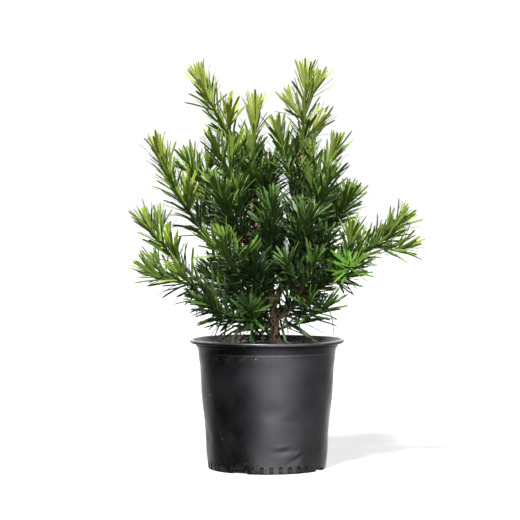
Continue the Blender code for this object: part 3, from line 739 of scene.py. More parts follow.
def limb_radius(name, share, angle):
    """A limb's radius: an even taper, and on the trunk a flare in lobes where the roots start."""
    if name != "trunk":
        limb = LIMBS[name]
        joint = JOINT_SWELL * math.exp(-share * limb_lines[name].length / JOINT_SWELL_LENGTH)
        return limb.radius + (limb.tip_radius - limb.radius) * share, joint
    height = share * (TRUNK_TIP - TRUNK_FOOT).length
    flare = ROOT_FLARE * math.exp(-height / ROOT_FLARE_HEIGHT)
    lobes = 1.0 + ROOT_LOBE_DEPTH * math.cos(ROOT_LOBES * angle)
    return TRUNK_RADIUS + (TRUNK_TIP_RADIUS - TRUNK_RADIUS) * share + flare * lobes, 0.0


def bark_relief(place, heading, spoke):
    """Bark as shares of the radius: ridges along the limb, broken by scales and slow swellings."""
    ridged = spoke * RIDGES_ROUND + UP * (place.dot(heading) * RIDGES_ALONG)
    scales = noise.noise(place * SCALES_IN_METRE + spoke * SCALES_ROUND)
    relief = BARK_RELIEF * (RIDGE_SHARE * noise.noise(ridged) + SCALE_SHARE * scales)
    return relief + LIMB_UNEVEN * noise.noise(place * SWELLINGS_IN_METRE)


def add_tube(points, faces, line, shares, spokes, radius_at):
    """Adds a closed tube round a line; radius_at gives its radius at a share, angle, centre and side."""
    first = len(points)
    last = first + (len(shares) - 1) * spokes
    for share in shares:
        centre = line.at(share)
        for spoke in range(spokes):
            angle = math.tau * spoke / spokes
            side = line.spoke(share, angle)
            points.append(centre + side * radius_at(share, angle, centre, side))
    faces.append(tuple(range(first + spokes - 1, first - 1, -1)))
    for lower in range(first, last, spokes):
        upper = lower + spokes
        for spoke in range(spokes):
            after = (spoke + 1) % spokes
            faces.append((lower + spoke, lower + after, upper + after, upper + spoke))
    faces.append(tuple(range(last, last + spokes)))


def limbs_mesh(name, limbs):
    """The limbs with the bark's relief, as joined tubes."""
    points, faces = [], []
    for limb in limbs:
        line = limb_lines[limb]

        def radius_at(share, angle, centre, side):
            radius, joint = limb_radius(limb, share, angle)
            rough = bark_relief(centre + side * BARK_DEPTH_READ, line.heading(share), side)
            return radius * (1.0 + joint + rough * min(1.0, (TIP_FADE_END - share) * TIP_FADE))

        shares = even_shares(math.ceil(line.length / LIMB_RING_STEP))
        add_tube(points, faces, line, shares, LIMB_SPOKES, radius_at)
    return mesh_of(name, points, faces)


BARK_BROWN = (0.16, 0.09, 0.05)
BARK_DARK = (0.050, 0.024, 0.015)
BARK_RED = (0.340, 0.190, 0.120)
BARK_GREY = (0.260, 0.200, 0.140)
# The foot's two tones are the bark's own paler tan with painted light added: they lift the trunk's foot,
# which stands in the crown's shade.
LIT_FOOT_DARK = (0.120, 0.068, 0.038)
LIT_FOOT_PALE = (0.950, 0.720, 0.480)


def bark_material():
    """Reddish-brown bark with greyer scales, mottled along the limbs, and paler low on the plant: partly
    its own tan, partly painted light on the shaded foot.
    """
    material, tree, shader = new_material("bark_brown", BARK_BROWN, 0.85)
    tones = use_group(tree, MOTTLE, Scale=150.0, Detail=5.0, Low=-0.70, High=1.60, Stretch=(1.0, 1.0, 0.40))
    scales = use_group(tree, MOTTLE, Scale=330.0, Detail=5.0, Low=-0.5, High=0.9)
    cracks = use_group(tree, MOTTLE, Scale=420.0, Detail=6.0, Stretch=(1.0, 1.0, 0.30))
    foot = use_group(tree, HEIGHT_MASK, From=0.340, To=0.250)
    scaly = mix_colours(tree, mix_colours(tree, BARK_DARK, BARK_RED, tones), BARK_GREY, scales)
    # Painted light: low on the plant the bark takes the lit foot tones, which stand for the light that the
    # crown keeps off the trunk.
    worn = mix_colours(tree, scaly, mix_colours(tree, LIT_FOOT_DARK, LIT_FOOT_PALE, tones), foot)
    tree.links.new(worn, shader.inputs["Base Color"])
    bump_from(tree, shader, cracks, 0.0007)
    return material


BARK = bark_material()
for name, limbs in (("bark_trunk", ["trunk"]), ("bark_limbs", list(LIMBS))):
    wood = new_piece(name, limbs_mesh(name, limbs), BARK)
    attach(wood, "root")
    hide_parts(*limbs)


# Each leafy shoot is a stem that goes on from its limb, with side twigs and short twiglets on them.
# The stems are brown and woody at their foot and green towards their tips.
ON_STEM_RADIUS = 0.0028
SIDE_STEM_RADIUS = 0.0025
STEM_TIP_RADIUS = 0.0010
STEM_SPOKES = 7
STEM_RING_STEP = 0.006
STEM_UNEVEN = 0.16
STEM_BUMPS_IN_METRE = 260
GREEN_FROM = 0.42
GREEN_OVERLAP = 0.02
GOLDEN_ANGLE = math.radians(137.5)
TWIG_RADIUS = 0.0016
TWIG_TIP_RADIUS = STEM_TIP_RADIUS * 0.9
TWIG_ANGLE = math.radians(46)
TWIG_FIRST = 0.22
TWIG_LAST = 0.85
TWIG_UPTURN = 0.18
TWIG_AGEING = 0.03
TWIGLET_RADIUS = 0.0011
TWIGLET_TIP_RADIUS = STEM_TIP_RADIUS * 0.8
TWIGLET_PITCH = 0.018
TWIGLET_SPAN = 0.7
TWIGLET_FIRST = 0.28
TWIGLET_SPREAD = 0.56
TWIGLETS_ABOVE = 0.76
TWIGLET_STRAY = (0.2, 0.8)
TWIGLET_LENGTH = 0.026
TWIGLET_LENGTHS = (0.6, 1.3)
TWIGLET_LIFT = 0.45
TWIGLET_AGEING = 2.5
SHOOT_SEED = 200


class Shoot(NamedTuple):
    """A leafy shoot: its carrier and place, tip, twigs, first twig's turn, their reach and its upturn.

    tip_age is the age of the leaves at its tips, from 0 for this year's yellow-green to 1, and
    fullness is how many leaves it has beside a common shoot.
    """

    carrier: str
    at: float
    tip: tuple
    twigs: int
    turn: float
    reach: float
    upturn: float
    tip_age: float
    fullness: float


SHOOT_SIZES = {
    "left_leader": ("trunk", 1.0, (-0.119, 0.012, 0.700), 2, -50, 0.24, 0.15, 0.00, 0.86),
    "left_spur": ("trunk", 0.86, (-0.022, -0.006, 0.643), 0, 0, 0.40, 0.30, 0.06, 0.80),
    "left_shoulder": ("trunk", 0.80, (-0.092, -0.036, 0.579), 1, 0, 0.35, 0.30, 0.27, 0.92),
    "right_leader": ("right_stem", 1.0, (0.071, -0.008, 0.704), 3, 180, 0.19, 0.05, 0.02, 0.86),
    "right_spur": ("right_stem", 0.80, (0.023, -0.034, 0.603), 0, 0, 0.40, 0.20, 0.28, 0.84),
    "right_shoulder": ("right_stem", 0.68, (0.121, -0.020, 0.572), 1, 0, 0.35, 0.35, 0.22, 0.88),
    "left_upper": ("bough_left_mid", 1.0, (-0.198, 0.020, 0.571), 2, -69, 0.28, 0.25, 0.08, 0.88),
    "left_inner": ("bough_left_inner", 1.0, (-0.138, 0.066, 0.552), 1, 25, 0.40, 0.30, 0.34, 1.10),
    "left_core": ("trunk", 0.50, (-0.090, -0.066, 0.505), 1, 0, 0.40, 0.35, 0.52, 1.25),
    "left_arm": ("bough_left_low", 1.0, (-0.214, -0.015, 0.440), 2, -69, 0.32, 0.30, 0.22, 0.80),
    "left_fringe": ("bough_left_fringe", 1.0, (-0.208, -0.060, 0.358), 2, -69, 0.34, 0.20, 0.34, 0.86),
    "left_breast": ("bough_left_front", 1.0, (-0.073, -0.130, 0.405), 2, -69, 0.45, 0.50, 0.48, 0.82),
    "left_foot": ("trunk", 0.06, (-0.100, -0.104, 0.302), 2, -69, 0.36, 0.15, 0.76, 1.20),
    "front_low": ("trunk", 0.09, (-0.022, -0.100, 0.372), 1, 90, 0.35, 0.45, 0.84, 1.30),
    "front": ("trunk", 0.38, (0.010, -0.112, 0.474), 1, 0, 0.40, 0.60, 0.64, 1.10),
    "crotch": ("trunk", 0.64, (0.010, 0.014, 0.545), 1, 0, 0.40, 0.20, 0.60, 1.35),
    "front_right": ("right_stem", 0.30, (0.074, -0.112, 0.452), 1, 0, 0.40, 0.55, 0.68, 1.10),
    "right_core": ("right_stem", 0.50, (0.112, -0.060, 0.522), 1, 0, 0.40, 0.40, 0.50, 1.15),
    "right_breast": ("trunk", 0.12, (0.080, -0.112, 0.372), 2, -69, 0.36, 0.50, 0.72, 0.92),
    "right_foot": ("trunk", 0.07, (0.104, -0.084, 0.296), 2, -69, 0.36, 0.15, 0.66, 0.40),
    "right_arm": ("bough_right_low", 1.0, (0.237, -0.016, 0.444), 2, 15, 0.28, 0.25, 0.26, 1.20),
    "right_fringe": ("bough_right_fringe", 1.0, (0.160, -0.064, 0.366), 2, -69, 0.40, 0.20, 0.48, 0.72),
    "right_upper": ("bough_right_mid", 1.0, (0.146, 0.024, 0.480), 2, -69, 0.42, 0.30, 0.42, 1.15),
    "right_inner": ("right_stem", 0.12, (0.104, -0.060, 0.410), 1, 0, 0.40, 0.40, 0.68, 1.20),
    "back_left": ("bough_back_left", 1.0, (-0.110, 0.160, 0.480), 2, -69, 0.42, 0.40, 0.36, 1.00),
    "back_top": ("trunk", 0.55, (-0.040, 0.106, 0.575), 1, 0, 0.40, 0.40, 0.40, 1.15),
    "back_middle": ("trunk", 0.30, (0.006, 0.150, 0.430), 1, 0, 0.40, 0.40, 0.48, 1.25),
    "back_right": ("bough_back_right", 1.0, (0.126, 0.156, 0.480), 2, -69, 0.42, 0.40, 0.36, 1.00),
    "back_crest": ("right_stem", 0.46, (0.074, 0.100, 0.580), 1, 0, 0.40, 0.40, 0.40, 1.15),
    "back_low_left": ("bough_back_low_left", 1.0, (-0.094, 0.176, 0.355), 2, -69, 0.42, 0.30, 0.46, 1.15),
    "back_low_right": ("bough_back_low_right", 1.0, (0.114, 0.170, 0.355), 2, -69, 0.42, 0.30, 0.46, 1.05),
}
SHOOTS = {"foliage_" + mass: Shoot(*sizes) for mass, sizes in SHOOT_SIZES.items()}

# The twigs of one shoot low on the right broke late. An age below every other one keeps their leaves
# in a piece of their own, which is a bright fresh green.
FRESH_AGE = -9.0
FRESH_SHOOT = SHOOTS["foliage_right_fringe"]


class Axis(NamedTuple):
    """One leafy axis: its line, its radii, the age of its tip, its fullness, its rank and first leaf.

    Rank 0 is a shoot's stem, 1 a side twig, 2 a twiglet and 3 a limb that has kept some leaves. The
    first leaf is the share of the line at which the leaves start.
    """

    line: Line
    radius: float
    tip_radius: float
    tip_age: float
    fullness: float
    rank: int
    first_leaf: float = 0.08


def side_line(carrier, share, angle, length, lift=0.0):
    """The line of a twig that leans off its carrier at an angle round it, lifted towards the light."""
    heading, spoke = carrier.heading(share), carrier.spoke(share, angle)
    outward = heading * math.cos(TWIG_ANGLE) + spoke * math.sin(TWIG_ANGLE)
    foot = carrier.at(share)
    return Line(foot, foot + (outward + UP * lift).normalized() * length, TWIG_UPTURN)


MIX_CLEAR = 0.002
MOUTH_CLEAR = 0.002
RIM_CLEAR = 0.001


def over_the_pot(places):
    """True where all the places are above the mix and the rim, and none is beside the pot."""
    for place in places:
        in_mouth = math.hypot(place.x, place.y) < MOUTH_RADIUS - MOUTH_CLEAR
        floor = mix_height(place.x, place.y) + MIX_CLEAR if in_mouth else POT_HEIGHT + RIM_CLEAR
        if place.z < floor:
            return False
    return True


def grown_axes(shoot, chance):
    """Every leafy axis of a shoot: its stem, its twigs as in the solids, and finer twiglets."""
    stem = line_from(limb_lines, shoot.carrier, shoot.at, shoot.tip, shoot.upturn)
    foot_radius = ON_STEM_RADIUS if shoot.at == 1.0 else SIDE_STEM_RADIUS
    axes = [Axis(stem, foot_radius, STEM_TIP_RADIUS, shoot.tip_age, shoot.fullness, 0)]
    for index in range(shoot.twigs):
        share = TWIG_FIRST + (TWIG_LAST - TWIG_FIRST) * (index + 0.5) / shoot.twigs
        angle = stem.upper_angle(share) + math.radians(shoot.turn) + index * GOLDEN_ANGLE
        twig = side_line(stem, share, angle, stem.length * shoot.reach)
        tip_age = FRESH_AGE if shoot == FRESH_SHOOT else shoot.tip_age + TWIG_AGEING
        axes.append(Axis(twig, TWIG_RADIUS, TWIG_TIP_RADIUS, tip_age, shoot.fullness, 1))
    spare = max(0.0, shoot.fullness - TWIGLETS_ABOVE)
    for carrier in list(axes):
        count = int(carrier.line.length * TWIGLET_SPAN / TWIGLET_PITCH * spare)
        turn = chance.uniform(0.0, math.tau)
        for index in range(count):
            share = TWIGLET_FIRST + TWIGLET_SPREAD * (index + chance.uniform(*TWIGLET_STRAY)) / count
            length = TWIGLET_LENGTH * chance.uniform(*TWIGLET_LENGTHS)
            twiglet = side_line(carrier.line, share, turn + index * GOLDEN_ANGLE, length, TWIGLET_LIFT)
            if over_the_pot([twiglet.at(1.0)]):
                age = shoot.tip_age + TWIGLET_AGEING * (1.0 - share) * carrier.line.length
                axes.append(Axis(twiglet, TWIGLET_RADIUS, TWIGLET_TIP_RADIUS, age, shoot.fullness, 2))
    return axes


shoot_axes = {}
for number, (name, shoot) in enumerate(SHOOTS.items()):
    shoot_axes[name] = grown_axes(shoot, random.Random(SHOOT_SEED + number))


def stems_mesh(name, first, last, ranks):
    """The part of every axis between two shares, as joined tubes with a little unevenness."""
    points, faces = [], []
    for axis in [axis for axes in shoot_axes.values() for axis in axes if axis.rank in ranks]:

        def radius_at(share, angle, centre, side):
            even = axis.radius + (axis.tip_radius - axis.radius) * share
            return even * (1.0 + STEM_UNEVEN * noise.noise(centre * STEM_BUMPS_IN_METRE + side))

        count = max(3, math.ceil(axis.line.length * (last - first) / STEM_RING_STEP))
        add_tube(points, faces, axis.line, even_shares(count, first, last), STEM_SPOKES, radius_at)
    return mesh_of(name, points, faces)


STEM_GREEN = (0.13, 0.19, 0.05)
STEM_GREEN_DARK = (0.085, 0.135, 0.035)
STEM_GREEN_LIGHT = (0.200, 0.260, 0.080)


def green_stem_material():
    """Young stem in two greens, with fine uneven relief."""
    material, tree, shader = new_material("stem_green", STEM_GREEN, 0.5)
    uneven = use_group(tree, MOTTLE, Scale=260.0, Detail=3.0)
    tones = use_group(tree, MOTTLE, Scale=60.0, Detail=4.0)
    greens = mix_colours(tree, STEM_GREEN_DARK, STEM_GREEN_LIGHT, tones)
    tree.links.new(greens, shader.inputs["Base Color"])
    bump_from(tree, shader, uneven, 0.0004)
    return material


GREEN_STEM = green_stem_material()
for name, first, last, ranks, material, slot in (
    ("stems_woody", 0.0, GREEN_FROM, (0, 1), BARK, "bark"),
    ("stems_green", GREEN_FROM - GREEN_OVERLAP, 1.0, (0, 1), GREEN_STEM, "leaf"),
    ("stems_twiglets", 0.0, 1.0, (2,), GREEN_STEM, "leaf"),
):
    stems = new_piece(name, stems_mesh(name, first, last, ranks), material)
    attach(stems, "root")
    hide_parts(*SHOOTS)


# The leaves are leathery straps, blunt at the tip and folded a little along the midrib. They stand in
# a spiral round each stem, close and upright in a tuft at its tip. New leaves are yellow-green, and
# old ones inside the crown are deep green, so each age of leaf is a piece of its own colour. The
# oldest are partly painted shade: their deep green is darkened for the shade deep inside the crown.
LEAF_LENGTH = 0.0540
LEAF_WIDTH = 0.0046
LEAF_THICKNESS = 0.00045
LEAF_FOLD = 0.14
LEAF_OUTLINE = [
    *[(0.00, 0.20), (0.07, 0.56), (0.20, 0.88), (0.42, 1.00)],
    *[(0.72, 1.00), (0.90, 0.84), (0.98, 0.50), (1.00, 0.00)],
]
LEAF_SPACING = 0.0018
LEAF_SPREAD = 0.15
LEAF_STRAY = 0.16
LEAF_WIDTHS = (0.88, 1.14)
SHORT_LEAF_WIDTH = 0.62
LAST_SPIRAL_LEAF = 0.97
TUFT_LENGTH = 0.010
TUFT_LEAF, TUFT_LEAF_SHORTENING = 0.96, 0.30

# What each rank of axis has: the leaves in its tuft, and the length of its leaves beside a stem's
TUFT_LEAVES = (12, 9, 3, 0)
RANK_LEAF = (1.0, 0.94, 0.80, 0.90)

# A leaf's lean off its axis in degrees: at first, how it closes along the axis, with age, its stray
SPIRAL_LEAN = (50, 27, 15, 6.0)
TUFT_LEAN = (40, 33, -9, 5.0)

# How leaves lift to the light, less with age, and more where a shoot leans out to front or back
LEAF_LIFT = 0.30
LEAF_LIFT_LOST = 0.20
LEAF_TURN_UP = 0.50
TURN_UP_FROM = 0.32
TURN_UP_RISE = 0.06
LEAF_TWIST = 0.45
LEAF_BEND = -0.05
LEAF_BEND_AGED = 0.35
LEAF_BEND_STRAY = 0.16
LEAF_AGEING = 4.2
LEAF_AGE_STRAY = 0.08

# No leaf starts in a limb or hangs across the trunk's bare foot or a knot of dead leaves
LIMB_MARK_STEP = 0.004
LIMB_CLEAR = 0.006
LEAF_CHECKS = (0.25, 0.5, 0.75, 1.0)
BARE_TRUNK = (-0.02, 0.27)
BARE_TRUNK_HALF = 0.0065
DRY_KNOTS = [
    ("foliage_left_core", 0.32, 20),
    ("foliage_right_breast", 0.68, 26),
    ("foliage_front_low", 0.30, 10),
]
KNOT_HALF = 0.0075
limb_marks = np.array([mark for line in limb_lines.values() for mark in line.marks(LIMB_MARK_STEP)])
knot_places = [shoot_axes[name][0].line.at(share) for name, share, _ in DRY_KNOTS]


class Leaf(NamedTuple):
    """One leaf: where it starts, its direction, its width's direction, its sizes and its bend."""

    root: Vector
    along: Vector
    across: Vector
    length: float
    width: float
    bend: float
    age: float


def off_limbs(place):
    return np.linalg.norm(limb_marks - np.array(place), axis=1).min() > LIMB_CLEAR


def before_bare_wood(place):
    """True in front of the trunk's bare foot and of the dead knots, where no leaf hangs across."""
    for knot in knot_places:
        off = place - knot
        if off.y < KNOT_HALF and abs(off.x) < KNOT_HALF and abs(off.z) < KNOT_HALF:
            return True
    rise = (place.z - TRUNK_FOOT.z) / (TRUNK_TIP.z - TRUNK_FOOT.z)
    if place.y > 0.0 or not BARE_TRUNK[0] < rise < BARE_TRUNK[1]:
        return False
    return abs(place.x - limb_lines["trunk"].at(max(0.0, rise)).x) < BARE_TRUNK_HALF


def leaf_at(axis, share, angle, lean, length, width, age, chance):
    """A leaf leaning off its axis, face to the tip give or take a twist, sagging if it is old."""
    heading, spoke = axis.line.heading(share), axis.line.spoke(share, angle)
    root = axis.line.at(share)
    worn = min(1.0, max(0.0, age))
    high = min(1.0, max(0.0, (root.z - TURN_UP_FROM) / TURN_UP_RISE))
    lift = LEAF_LIFT - LEAF_LIFT_LOST * worn + LEAF_TURN_UP * abs(heading.y) * high
    along = (heading * math.cos(lean) + spoke * math.sin(lean) + UP * lift).normalized()
    twist = chance.gauss(0.0, LEAF_TWIST)
    across = Matrix.Rotation(twist, 3, along) @ heading.cross(spoke)
    across = (across - along * across.dot(along)).normalized()
    bend = chance.gauss(LEAF_BEND + LEAF_BEND_AGED * worn, LEAF_BEND_STRAY)
    return Leaf(root, along, across, length, width, bend, age)


def leaf_age(axis, share, chance):
    """0 for the newest leaves at a fresh tip, 1 for the oldest, deep inside the crown."""
    ageing = LEAF_AGEING * (1.0 - share) * axis.line.length
    return axis.tip_age + ageing + chance.gauss(0.0, LEAF_AGE_STRAY)


def leaf_lean(leans, along, tip_age, chance):
    first, closing, ageing, stray = leans
    return math.radians(first - closing * along + ageing * min(1.0, tip_age) + chance.gauss(0.0, stray))


def leaves_of(axis, chance):
    """The spiral of leaves along an axis and the tuft at its tip."""
    found = []
    count = int(axis.line.length * (1.0 - axis.first_leaf) / LEAF_SPACING * axis.fullness)
    turn = chance.uniform(0.0, math.tau)
    tuft = TUFT_LEAVES[axis.rank]
    for index in range(count + tuft):
        angle = turn + index * GOLDEN_ANGLE + chance.gauss(0.0, LEAF_STRAY)
        length = LEAF_LENGTH * (chance.uniform(1.0 - LEAF_SPREAD, 1.0 + LEAF_SPREAD) * RANK_LEAF[axis.rank])
        if index < count:
            along = (index + 0.5) / count
            share = axis.first_leaf + (LAST_SPIRAL_LEAF - axis.first_leaf) * along
            lean = leaf_lean(SPIRAL_LEAN, along, axis.tip_age, chance)
        else:
            along = (index - count) / tuft
            share = min(1.0, 1.0 - TUFT_LENGTH * (1.0 - along) / axis.line.length)
            lean = leaf_lean(TUFT_LEAN, along, axis.tip_age, chance)
            length *= TUFT_LEAF - TUFT_LEAF_SHORTENING * along
        age = leaf_age(axis, share, chance)
        breadth = SHORT_LEAF_WIDTH + (1.0 - SHORT_LEAF_WIDTH) * min(1.0, length / LEAF_LENGTH)
        width = LEAF_WIDTH * breadth * chance.uniform(*LEAF_WIDTHS)
        leaf = leaf_at(axis, share, angle, lean, length, width, age, chance)
        outer = [leaf.root + leaf.along * leaf.length * reach for reach in LEAF_CHECKS]
        if any(before_bare_wood(place) for place in outer) or not over_the_pot(outer[1::2]):
            continue
        if all(off_limbs(place) for place in outer[1::2]):
            found.append(leaf)
    return found


def blade_points(leaf):
    """A leaf's points: at each station its left edge, upper midrib, right edge and lower midrib."""
    face = leaf.along.cross(leaf.across).normalized()
    points = []
    for reach, breadth in LEAF_OUTLINE:
        turn = leaf.bend * reach
        onward = leaf.along * (leaf.length * reach * math.cos(turn * 0.5))
        centre = leaf.root + onward - face * (leaf.length * (turn * reach * 0.5))
        if breadth == 0.0:
            points.append(centre)
            continue
        up = face * math.cos(turn) + leaf.along * math.sin(turn)
        half = leaf.width * breadth / 2
        edge, fold = leaf.across * half, up * (half * LEAF_FOLD)
        thick = up * (LEAF_THICKNESS * (0.5 + 0.5 * breadth)) * 0.5
        points += [centre + edge + fold, centre + thick, centre - edge + fold, centre - thick]
    return points


def blade_faces():
    """The faces of one leaf as (corners, is_underside): its cut foot, its rings and its tip."""
    faces = [((0, 1, 2, 3), True)]
    tip = (len(LEAF_OUTLINE) - 1) * 4
    for ring in range(0, tip, 4):
        for side in range(4):
            here, after, beyond = ring + side, ring + (side + 1) % 4, ring + 4
            if beyond == tip:
                faces.append(((here, tip, after), side > 1))
            else:
                faces.append(((here, here + 4, after + 4, after), side > 1))
    return faces


BLADE_FACES = blade_faces()
POINTS_IN_BLADE = (len(LEAF_OUTLINE) - 1) * 4 + 1


def leaves_mesh(name, leaves):
    """All the leaves of one age joined in one mesh, sharp along their edges."""
    points = [point for leaf in leaves for point in blade_points(leaf)]
    faces, under = [], []
    for first in range(0, len(points), POINTS_IN_BLADE):
        for corners, is_under in BLADE_FACES:
            faces.append(tuple(first + corner for corner in corners))
            under.append(is_under)
    mesh = mesh_of(name, points, faces)
    mesh.polygons.foreach_set("material_index", np.array(under, dtype=np.int32))
    ends = np.empty(len(mesh.edges) * 2, dtype=np.int32)
    mesh.edges.foreach_get("vertices", ends)
    place = (ends.reshape(-1, 2) % POINTS_IN_BLADE) % 4
    rim = ((place == 0).all(axis=1)) | ((place == 2).all(axis=1))
    sharp = mesh.attributes.new("sharp_edge", "BOOLEAN", "EDGE")
    sharp.data.foreach_set("value", rim)
    return mesh


class Age(NamedTuple):
    """An age of leaf: the greatest age it holds, its upper colour, its underside's, its roughness."""

    upto: float
    upper: tuple
    under: tuple
    roughness: float


AGES = {
    "leaves_fresh": Age(-1.00, (0.085, 0.225, 0.018), (0.100, 0.225, 0.026), 0.38),
    "leaves_bud": Age(0.10, (0.450, 0.530, 0.080), (0.440, 0.510, 0.115), 0.42),
    "leaves_new": Age(0.24, (0.330, 0.436, 0.058), (0.330, 0.424, 0.084), 0.40),
    "leaves_young": Age(0.40, (0.218, 0.326, 0.044), (0.230, 0.322, 0.060), 0.38),
    "leaves_grown": Age(0.62, (0.128, 0.224, 0.032), (0.142, 0.222, 0.042), 0.36),
    "leaves_deep": Age(0.84, (0.060, 0.126, 0.022), (0.076, 0.134, 0.032), 0.35),
    # Painted shade: the oldest leaves' deep green is darkened to stand for the shade deep inside the crown.
    "leaves_old_and_shaded": Age(9.00, (0.026, 0.062, 0.014), (0.038, 0.074, 0.021), 0.36),
}
UPPER_GLOSS = 0.20
UNDER_GLOSS = 0.12
UNDER_ROUGHER = 0.14
WAX_SMOOTHER = 0.06
WAX_ROUGHER = 0.10
LEAF_RELIEF = 0.00016


def leaf_material(name, colour, roughness, gloss):
    """Waxy leaf: one plain colour, an uneven gloss and fine relief."""
    material, tree, shader = new_material(name, colour, roughness, Specular_IOR_Level=gloss)
    low, high = roughness - WAX_SMOOTHER, roughness + WAX_ROUGHER
    wax = use_group(tree, MOTTLE, Scale=70.0, Detail=4.0, Low=low, High=high)
    uneven = use_group(tree, MOTTLE, Scale=420.0, Detail=3.0)
    tree.links.new(wax, shader.inputs["Roughness"])
    bump_from(tree, shader, uneven, LEAF_RELIEF)
    return material


# The limbs that keep some old leaves inside the crown, and how far along them the first ones stand
LEAFY_LIMBS = {
    "trunk": 0.24,
    "right_stem": 0.10,
    "bough_back_low_left": 0.20,
    "bough_back_low_right": 0.10,
    "bough_back_left": 0.15,
    "bough_back_right": 0.10,
    "bough_left_inner": 0.40,
    "bough_left_mid": 0.40,
    "bough_left_low": 0.55,
    "bough_right_mid": 0.40,
    "bough_right_low": 0.55,
}
LIMB_LEAF_AGE = 0.66
LIMB_FULLNESS = 0.62
LIMB_LEAF_SEED = 900
LEAF_SEED = 500


def grown_leaves():
    """The leaves of every shoot, and the old ones that stay on the limbs inside the crown."""
    found = []
    chance = random.Random(LIMB_LEAF_SEED)
    for name, first_leaf in LEAFY_LIMBS.items():
        limb = Axis(limb_lines[name], 0.0, 0.0, LIMB_LEAF_AGE, LIMB_FULLNESS, 3, first_leaf)
        found += leaves_of(limb, chance)
    for number, axes in enumerate(shoot_axes.values()):
        chance = random.Random(LEAF_SEED + number)
        for axis in axes:
            found += leaves_of(axis, chance)
    return found


leaves_left = grown_leaves()
for name, age in AGES.items():
    mine = [leaf for leaf in leaves_left if leaf.age <= age.upto]
    leaves_left = [leaf for leaf in leaves_left if leaf.age > age.upto]
    upper = leaf_material(name, age.upper, age.roughness, UPPER_GLOSS)
    under = leaf_material(name + "_under", age.under, age.roughness + UNDER_ROUGHER, UNDER_GLOSS)
    blades = new_piece(name, leaves_mesh(name, mine), upper, under)
    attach(blades, "root")
    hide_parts(*SHOOTS)


# A few leaves died and stayed: they hang in brown curled knots on the wood inside the crown, and one
# thin dry needle droops from the lowest shoot on the right.
DRY_LEAF_LENGTH = 0.019
DRY_LEAF_WIDTH = 0.0032
DRY_LENGTHS = (0.5, 1.4)
DRY_LEANS = (40, 125)
DRY_CURLS = (0.5, 1.5)
DRY_UPPER = (0.120, 0.066, 0.032)
DRY_UNDER = (0.150, 0.092, 0.050)
DRY_ROUGHNESS, DRY_GLOSS = 0.75, 0.15
DRY_UNDER_ROUGHNESS, DRY_UNDER_GLOSS = 0.80, 0.10
DRY_SEED = 77
KNOT_SPREAD = 0.04
NEEDLE_SHOOT, NEEDLE_SHARE = "foliage_right_foot", 0.97
NEEDLE_HEADING = Vector((0.90, -0.30, 0.25)).normalized()
NEEDLE_REACH = Vector((0.018, -0.008, -0.046))
NEEDLE_DROOP = -0.8
NEEDLE_RADIUS = 0.0011
NEEDLE_TAPER = 0.5
NEEDLE_RINGS = 24
NEEDLE_GREY = (0.050, 0.046, 0.034)


def dry_leaves():
    """The curled dead leaves of every knot."""
    chance = random.Random(DRY_SEED)
    found = []
    for name, share, count in DRY_KNOTS:
        axis = shoot_axes[name][0]
        for index in range(count):
            place = share + chance.gauss(0.0, KNOT_SPREAD)
            lean = math.radians(chance.uniform(*DRY_LEANS))
            length = DRY_LEAF_LENGTH * chance.uniform(*DRY_LENGTHS)
            leaf = leaf_at(axis, place, index * GOLDEN_ANGLE, lean, length, DRY_LEAF_WIDTH, 1.0, chance)
            found.append(leaf._replace(bend=chance.choice((-1, 1)) * chance.uniform(*DRY_CURLS)))
    return found


def needle_mesh():
    """The dry needle, rolled up into a thread, that bends over and hangs."""
    root = shoot_axes[NEEDLE_SHOOT][0].line.at(NEEDLE_SHARE)
    line = Line(root, root + NEEDLE_REACH, NEEDLE_DROOP, NEEDLE_HEADING)

    def radius_at(share, angle, centre, side):
        return NEEDLE_RADIUS * (1.0 - NEEDLE_TAPER * share)

    points, faces = [], []
    add_tube(points, faces, line, even_shares(NEEDLE_RINGS), STEM_SPOKES, radius_at)
    return mesh_of("needle_dry", points, faces)


dry = leaf_material("leaves_dry", DRY_UPPER, DRY_ROUGHNESS, DRY_GLOSS)
dry_under = leaf_material("leaves_dry_under", DRY_UNDER, DRY_UNDER_ROUGHNESS, DRY_UNDER_GLOSS)
knots = new_piece("leaves_dry", leaves_mesh("leaves_dry", dry_leaves()), dry, dry_under)
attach(knots, "root")
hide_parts(*[name for name, _, _ in DRY_KNOTS])

weathered, _, _ = new_material("needle_weathered", NEEDLE_GREY, 0.7)
needle = new_piece("needle_dry", needle_mesh(), weathered)
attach(needle, "root")
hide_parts(NEEDLE_SHOOT)


# The plant stands on a plain pale floor in a pale room, under a high soft key over the front. The
# room is brighter behind, and it and the floor throw little light back, so the inside of the crown
# stays dark. What shines sees it bright in front, which draws the soft stripe down the pot's wall.
FLOOR_HALF = 30.0
FLOOR_COLOUR = (0.36, 0.36, 0.36)
FLOOR_GLOW = (0.78, 0.78, 0.78)
FLOOR_BOUNCE = (0.07, 0.07, 0.07)
NO_GLOW = (0.0, 0.0, 0.0)


def floor_material():
    """A pale floor that glows a little to the camera, and throws back only a little light."""
    material, tree, shader = new_material("studio_floor", FLOOR_COLOUR, 0.9, Specular_IOR_Level=0.0)
    shader.inputs["Emission Strength"].default_value = 1.0
    seen = tree.nodes.new("ShaderNodeLightPath").outputs["Is Camera Ray"]
    tree.links.new(mix_colours(tree, FLOOR_BOUNCE, FLOOR_COLOUR, seen), shader.inputs["Base Color"])
    tree.links.new(mix_colours(tree, NO_GLOW, FLOOR_GLOW, seen), shader.inputs["Emission Color"])
    return material


floor_corners = [(x * FLOOR_HALF, y * FLOOR_HALF, 0) for x, y in CHIP_ROUND]
floor_mesh = mesh_of("studio_floor", floor_corners, [(0, 1, 2, 3)], smooth=False)
floor = new_piece("studio_floor", floor_mesh, floor_material())
floor.visible_glossy = False

